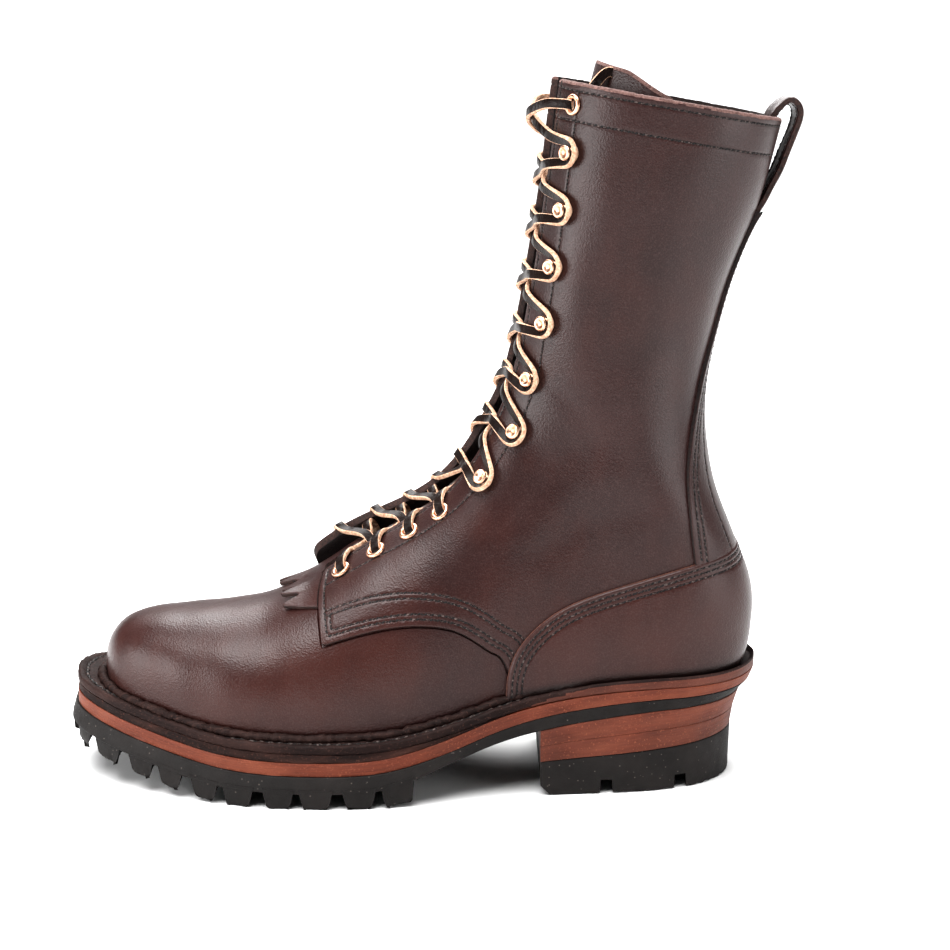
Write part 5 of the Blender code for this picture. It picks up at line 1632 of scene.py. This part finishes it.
def build_sole():
    """The sole's layers from the welt down, the heel stack and the notched top lift."""
    build_welt()
    build_bead()
    gap = LAYER_GAP
    stack_top, stack_mid = heel_inset("outsole_bottom"), heel_inset("stack_mid")
    stack_bottom, floor = heel_inset("stack_bottom"), heel_inset("floor")
    layer("slip_layer", "slip", SLIP_EDGE, lambda x: welt_bottom(x) + gap, lambda x: level(x, MID_TOP) - gap,
          (lambda x: 0.5 + 0 * x, lambda x: 0.4 + 0 * x), corner=0.3, bands=6, rough=0.18, seed=3,
          replaces=["slip_sole"], slot="edge")
    layer("midsole_layer", "midsole", FULL_EDGE, lambda x: level(x, MID_TOP) - gap,
          lambda x: level(x, MID_BOTTOM) + gap, (flush, heel_inset("midsole")),
          corner=0.2, bands=5, rough=0.06, seed=5, replaces=["midsole"], slot="stack")
    layer("outsole_plate", "rubber", FULL_EDGE, lambda x: level(x, MID_BOTTOM) - gap,
          lambda x: rubber_bottom(x) + gap,
          (heel_inset("outsole_top", LUG_FLARE / 3), heel_inset("outsole_bottom", LUG_FLARE)),
          corner=0.5, bands=5, rough=0.05, seed=7, replaces=["outsole"], slot="rubber")
    build_lugs()
    layer("heel_stack_1", "stack", HEEL_EDGE, lambda x: rubber_bottom(x) - gap,
          lambda x: stack_split(x) + gap, (stack_top, stack_mid),
          corner=0.15, bands=5, rough=0.05, seed=9, replaces=["heel_lift_1"], slot="stack")
    layer("heel_stack_2", "stack", HEEL_EDGE, lambda x: stack_split(x) - gap, lambda x: lift_top(x) + gap,
          (stack_mid, stack_bottom), corner=0.15, bands=5, rough=0.05, seed=11,
          replaces=["heel_lift_2"], slot="stack")
    lift = layer("heel_rubber", "rubber", HEEL_EDGE, lambda x: lift_top(x) - gap, flush,
                 (stack_bottom, floor), corner=0.8, bands=6, rough=0.06, seed=13, torn=0.7,
                 replaces=["heel_top_lift"], slot="rubber")
    notches = []
    for x in HEEL_NOTCH_X:
        for column, sign in ((1, 1.0), (2, -1.0)):
            edge = column_at(OUTLINE, x, column)
            across = (edge - sign * NOTCH_OUT, edge + sign * HEEL_NOTCH_DEEP)
            notches.append(trapezoid(x, HEEL_NOTCH_WIDTHS, across, (HEEL_NOTCH_HIGH, NOTCH_LOW)))
    long, high = (size + CHAMFER_OUT for size in HEEL_CHAMFER)
    corner = ((-CHAMFER_OUT, -CHAMFER_OUT), (-CHAMFER_OUT, high), (long, -CHAMFER_OUT))
    notches.append([(BREAST_X + ahead, y, z) for y in (-70.0, 70.0) for ahead, z in corner])
    cut_by(notches, lift)


# Fittings

FITTING_SEAT = QUARTER_HIGH + 0.3
LATHE_SIDES = 28
EYELET_DISH = 2                   # bands of the eyelet's profile that close its hole with a dark disc of painted shade
EYELET_PROFILE = [                # radius, height: dark dish of painted shade for the hole, then the rolled ring
    (0.05, 0.0), (1.0, 0.0), (2.3, 0.05), (2.5, 0.5), (2.8, 0.9), (3.4, 1.15), (4.0, 1.0), (4.45, 0.6),
    (4.6, 0.1), (4.45, -0.35), (0.05, -0.5),
]
HOOK_PROFILE = [                  # foot, neck and dished head
    (0.05, -0.3), (3.2, -0.3), (3.3, 0.3), (2.3, 1.0), (1.75, 1.5), (1.75, 2.5), (2.7, 2.95), (3.3, 3.15),
    (3.4, 3.55), (3.2, 3.95), (2.8, 4.3), (2.4, 4.42), (1.9, 4.2), (1.3, 3.8), (0.7, 3.6), (0.05, 3.55),
]


def turned(point, normal, profile):
    """Points and polygons of a turned piece on the surface, its own height along the normal."""
    aside = unit(np.cross(normal, (0.0, 1.0, 0.0)))
    over = np.cross(normal, aside)
    turn = np.linspace(0, 2 * math.pi, LATHE_SIDES, endpoint=False)
    ring = aside * np.cos(turn)[:, None] + over * np.sin(turn)[:, None]
    loops = [point + ring * radius + normal * (FITTING_SEAT + high) for radius, high in profile]
    return np.concatenate(loops), rings_joined(len(profile), LATHE_SIDES)


def build_fittings():
    """Eyelets and hooks on both sides."""
    for side, sign in (("outer", -1), ("inner", 1)):
        for i, (station, across) in enumerate(EYELETS):
            points, polygons = turned(*over_form(station, sign * across, 0.0), EYELET_PROFILE)
            # painted shade: the dish that closes the eyelet's hole is near-black
            dish = EYELET_DISH * LATHE_SIDES
            slots = [1] * dish + [0] * (len(polygons) - 2 - dish) + [1, 0]
            polygons = [polygon[::-1] for polygon in polygons]
            add_piece(f"ring_{side}_{i + 1}", points, polygons, ["copper", "painted_hole_shade"], slots,
                      replaces=[f"eyelet_{side}_{i + 1}"], slot="copper")
        for i, (station, across) in enumerate(HOOKS):
            points, polygons = turned(*over_form(station, sign * across, 0.0), HOOK_PROFILE)
            add_piece(f"stud_{side}_{i + 1}", points, polygons, ["copper"], None,
                      replaces=[f"hook_{side}_{i + 1}"], slot="copper")


# Laces

LACE_WIDE = 4.4
LACE_THICK = 2.0
LACE_ON_LEATHER = 3.0             # over the form, where a strand lies on a quarter
LACE_UNDER = -2.6                 # and where it runs under one
LACE_CROSS = -0.4                 # over the ridge between hooks
LACE_CROSS_LOW = (1.6, 0.7, -0.6)  # and between eyelets, over the fringed tongue and its end
LACE_OFF_EDGE = (1.4, 0.2, 0.0, 0.2)  # where it comes off the quarter's edge, at each eyelet
LACE_APART = 1.1                  # each strand from the crossing's middle
HOOK_LOOP = 4.9
HOOK_LACE_HIGH = 3.4
HOOK_TURN = (-112, -75, -38, 0, 38, 72)
HOOK_TILT = (35, 42, 58, 64, 56, 42)  # degrees that the grain leans to the hook at each of them
TOP_LOOP_HIGH = 8.5               # the last crossing stands out in front
LACE_END = [                      # x, y, z from the top eyelet: the end arches over the collar, inside
    (4.0, 3.0, 3.0), (9.5, 5.5, 10.0), (13.0, 6.5, 13.6), (16.5, 7.0, 13.4), (19.5, 7.5, 8.0),
    (20.5, 7.5, -4.0),
]


def over_form(station, across, high):
    """Point at a height over the form, with the inner quarter's rise, and the normal there."""
    point, normal = near_ridge(station, across + BESIDE_RIDGE)
    if across > 0:
        edge = column_at(THROAT, station, 2)
        high = high + far_lift(station, max(across - edge, 0.0)) * min(across / edge, 1.0)
    return point + normal * high, normal


def lace_stops(first_sign):
    """Points and face directions of one strand, from a lowest eyelet to a top eyelet."""
    rows = []

    def put(point, face):
        rows.append((*point, *unit(face)))

    def lay(station, across, high):
        put(*over_form(station, across, high))

    stops = [(*stop, "eyelet") for stop in EYELETS[:LOW_EYELETS]] + [(*stop, "hook") for stop in HOOKS]
    stops.append((*EYELETS[-1], "top"))
    for i, (station, across, kind) in enumerate(stops):
        sign = first_sign * (-1) ** i
        point, normal = over_form(station, sign * across, 0.0)
        edge = column_at(THROAT, station, 1 if sign < 0 else 2)
        up = unit(near_ridge(station + 0.1, sign * across)[0] - near_ridge(station, sign * across)[0])
        out = unit(np.cross(up, normal))
        if out[1] * sign < 0:
            out = -out
        if kind == "eyelet":
            # Up out of the hole, over the quarter and off its edge
            put(point - normal * 1.5, out)
            put(point + normal * 2.6 - out * 0.4, out + 0.4 * normal)
            lay(station + 0.08, sign * (0.6 * across + 0.4 * edge), LACE_ON_LEATHER + 0.7)
            lay(station + 0.2, sign * (edge + 1.0), LACE_ON_LEATHER)
            lay(station + 0.3, sign * (edge - 2.5), LACE_OFF_EDGE[i])
        elif kind == "hook":
            # Round the hook's neck and back over the quarter
            base = point + normal * HOOK_LACE_HIGH
            for angle, tilt in np.radians(list(zip(HOOK_TURN, HOOK_TILT))):
                radial = out * math.cos(angle) + up * math.sin(angle)
                put(base + radial * HOOK_LOOP, math.cos(tilt) * normal - math.sin(tilt) * radial)
            if i + 1 < len(stops):
                lay(station + 0.26 * (stops[i + 1][0] - station), sign * (edge + 1.5), LACE_ON_LEATHER + 0.4)
        else:
            # Over the quarter and in through the top eyelet, where the outer end arches over the collar
            lay(station - 0.1, sign * (edge + 2.0), LACE_ON_LEATHER + 4.5)
            put(point + normal * 3.6 - out * 3.0, normal - 0.4 * out)
            put(point + normal * 1.4, normal - out)
            put(point - normal * 2.4 + out * 0.8, -out + normal * 0.2)
            if sign < 0:
                for step, shift in enumerate(LACE_END):
                    put(point + np.array(shift), (0.2, -1.0, 0.4 - 0.1 * step))
        if i + 1 < len(stops):
            # Across the throat to the next stop, over or under the other strand
            after, _, next_kind = stops[i + 1]
            lift = LACE_APART if (i + (first_sign > 0)) % 2 else -LACE_APART
            far_edge = column_at(THROAT, after, 2 if sign < 0 else 1)
            if next_kind == "eyelet":
                lay(station + 0.7 * (after - station), 0.0, LACE_CROSS_LOW[i] + lift)
                lay(after - 0.2, -sign * (far_edge - 1.5), LACE_UNDER + 1.2)
                lay(after - 0.08, -sign * (far_edge + 4.0), LACE_UNDER)
            elif next_kind == "hook":
                lay(station + 0.47 * (after - station), 0.0, LACE_CROSS + lift)
                lay(station + 0.68 * (after - station), -sign * (far_edge + 1.5), LACE_ON_LEATHER + 0.4)
            else:
                lay(station + 0.6 * (after - station), 0.0, TOP_LOOP_HIGH + lift)
    return np.array(rows)


LACE_STEP = 0.9
LACE_SOFT = 2.2                   # steps that bends are eased over
LACE_CORNER = 0.35
LACE_FACES = [0, 1, 1, 1, 1, 1, 1, 1]   # material slots round its section, from the grain side


def ribbon(rows):
    """Points, polygons and material slots of a flat lace through rows of points and face directions."""
    path = curve(rows, 16)
    run = lengths_along(path[:, :3])
    path = read_along(run, path, np.linspace(0, run[-1], int(run[-1] / LACE_STEP)))
    path = smoothed(path, LACE_SOFT)
    place, face = path[:, :3], path[:, 3:]
    run = unit(np.gradient(place, axis=0))
    face = unit(face - run * (face * run).sum(axis=1, keepdims=True))
    aside = np.cross(run, face)
    wide, thick, soft = LACE_WIDE / 2, LACE_THICK / 2, LACE_CORNER
    section = [(-wide + soft, thick), (wide - soft, thick), (wide, thick - soft), (wide, -thick + soft),
               (wide - soft, -thick), (-wide + soft, -thick), (-wide, -thick + soft), (-wide, thick - soft)]
    rings = np.stack([place + aside * a + face * b for a, b in section], axis=1)
    count, sides = rings.shape[:2]
    return rings.reshape(-1, 3), rings_joined(count, sides), LACE_FACES * (count - 1) + [1, 1]


def build_laces():
    """Two strands up the throat, crossing between the fittings."""
    for name, sign in (("lace_a", -1), ("lace_b", 1)):
        points, polygons, slots = ribbon(lace_stops(sign))
        values = {"tint": np.zeros(len(points)), "wear": np.zeros(len(points))}
        add_piece(name, points, polygons, ["lace_grain", "lace_flesh"], slots, values, sharp=45.0,
                  replaces=["laces"], slot="lace")


# Stage

SKY_HORIZON = 1.0                 # strength
SKY_OVERHEAD = 0.14
SKY_FADE = (0.015, 0.06)          # heights of the view's direction that it fades between
FLOOR_HALF = 40.0
FLOOR_GREY = 0.80
FLOOR_ROUGH = 0.9
KEY_FROM = (-0.25, -0.36, 1.4)
KEY_POWER = 5.4
KEY_SPREAD = 50.0
BOXES = [
    # name, place, power, size
    ("left_box", (-1.25, -0.5, 0.27), 19.0, 0.9), ("right_box", (1.15, -0.6, 0.22), 8.0, 0.8),
    ("back_box", (0.0, 0.75, 1.0), 22.0, 1.0),
]
AIM = (0.0, 0.0, 0.15)
CAMERA_AT = (0.0, -979.9, 335.7)  # in the boot's layout
CAMERA_DOWN = 11.5                # degrees
CAMERA_LENS = 83.86
CAMERA_SENSOR = 36.0


def add_light(name, kind, place, power, size):
    """Light at a place, aimed at the boot; size is an area light's side or a sun's angle."""
    data = bpy.data.lights.new(name, kind)
    data.energy = power
    if kind == "SUN":
        data.angle = size
    else:
        data.size = size
    light = bpy.data.objects.new(name, data)
    bpy.context.scene.collection.objects.link(light)
    light.location = place
    way = mathutils.Vector(AIM) - mathutils.Vector(place)
    light.rotation_euler = way.to_track_quat("-Z", "Y").to_euler()


def build_sky():
    """Even sky that is brightest at the horizon."""
    world = bpy.data.worlds.new("studio")
    bpy.context.scene.world = world
    world.use_nodes = True
    nodes, links = world.node_tree.nodes, world.node_tree.links
    background = nodes["Background"]
    background.inputs["Color"].default_value = (1.0, 1.0, 1.0, 1.0)
    direction = nodes.new("ShaderNodeTexCoord")
    split = nodes.new("ShaderNodeSeparateXYZ")
    fade = nodes.new("ShaderNodeMapRange")
    names = ("From Min", "From Max", "To Min", "To Max")
    for name, limit in zip(names, (*SKY_FADE, SKY_HORIZON, SKY_OVERHEAD)):
        fade.inputs[name].default_value = limit
    links.new(direction.outputs["Generated"], split.inputs[0])
    links.new(split.outputs["Z"], fade.inputs["Value"])
    links.new(fade.outputs["Result"], background.inputs["Strength"])


def build_stage():
    """White studio: sky, floor, a soft high key light, boxes at the left, the right and behind, a camera."""
    build_sky()
    mesh = bpy.data.meshes.new("floor")
    far = FLOOR_HALF
    mesh.from_pydata([(-far, -far, 0), (far, -far, 0), (far, far, 0), (-far, far, 0)], [], [(0, 1, 2, 3)])
    mesh.materials.append(Finish("floor", (FLOOR_GREY, FLOOR_GREY, FLOOR_GREY), FLOOR_ROUGH).done())
    floor = bpy.data.objects.new("floor", mesh)
    bpy.context.scene.collection.objects.link(floor)
    add_light("key", "SUN", KEY_FROM, KEY_POWER, math.radians(KEY_SPREAD))
    for name, place, power, size in BOXES:
        add_light(name, "AREA", place, power, size)
    camera = bpy.data.cameras.new("camera")
    camera.lens = CAMERA_LENS
    camera.sensor_width = CAMERA_SENSOR
    camera.sensor_fit = "HORIZONTAL"
    view = bpy.data.objects.new("camera", camera)
    bpy.context.scene.collection.objects.link(view)
    view.location = to_scene(CAMERA_AT)
    view.rotation_euler = (math.radians(90 - CAMERA_DOWN), 0.0, 0.0)
    bpy.context.scene.camera = view
    bpy.context.scene.view_settings.view_transform = "Standard"
    bpy.context.scene.view_settings.look = "Medium High Contrast"


build_stage()
build_vamp()
build_quarter("outer", OUTER_HALF)
build_quarter("inner", INNER_HALF)
build_counter()
build_backstay()
build_kiltie()
build_tongue()
build_loop()
build_sole()
build_fittings()
build_laces()
stitches("seams", STITCH_ROWS, SEAM_PITCH, SEAM_LONG, SEAM_RADIUS, ["thread", "painted_hole_shade"], slot="leather")
insole = bpy.data.objects["insole"]
insole.data.materials.clear()
insole.data.materials.append(MATERIALS["insole"])
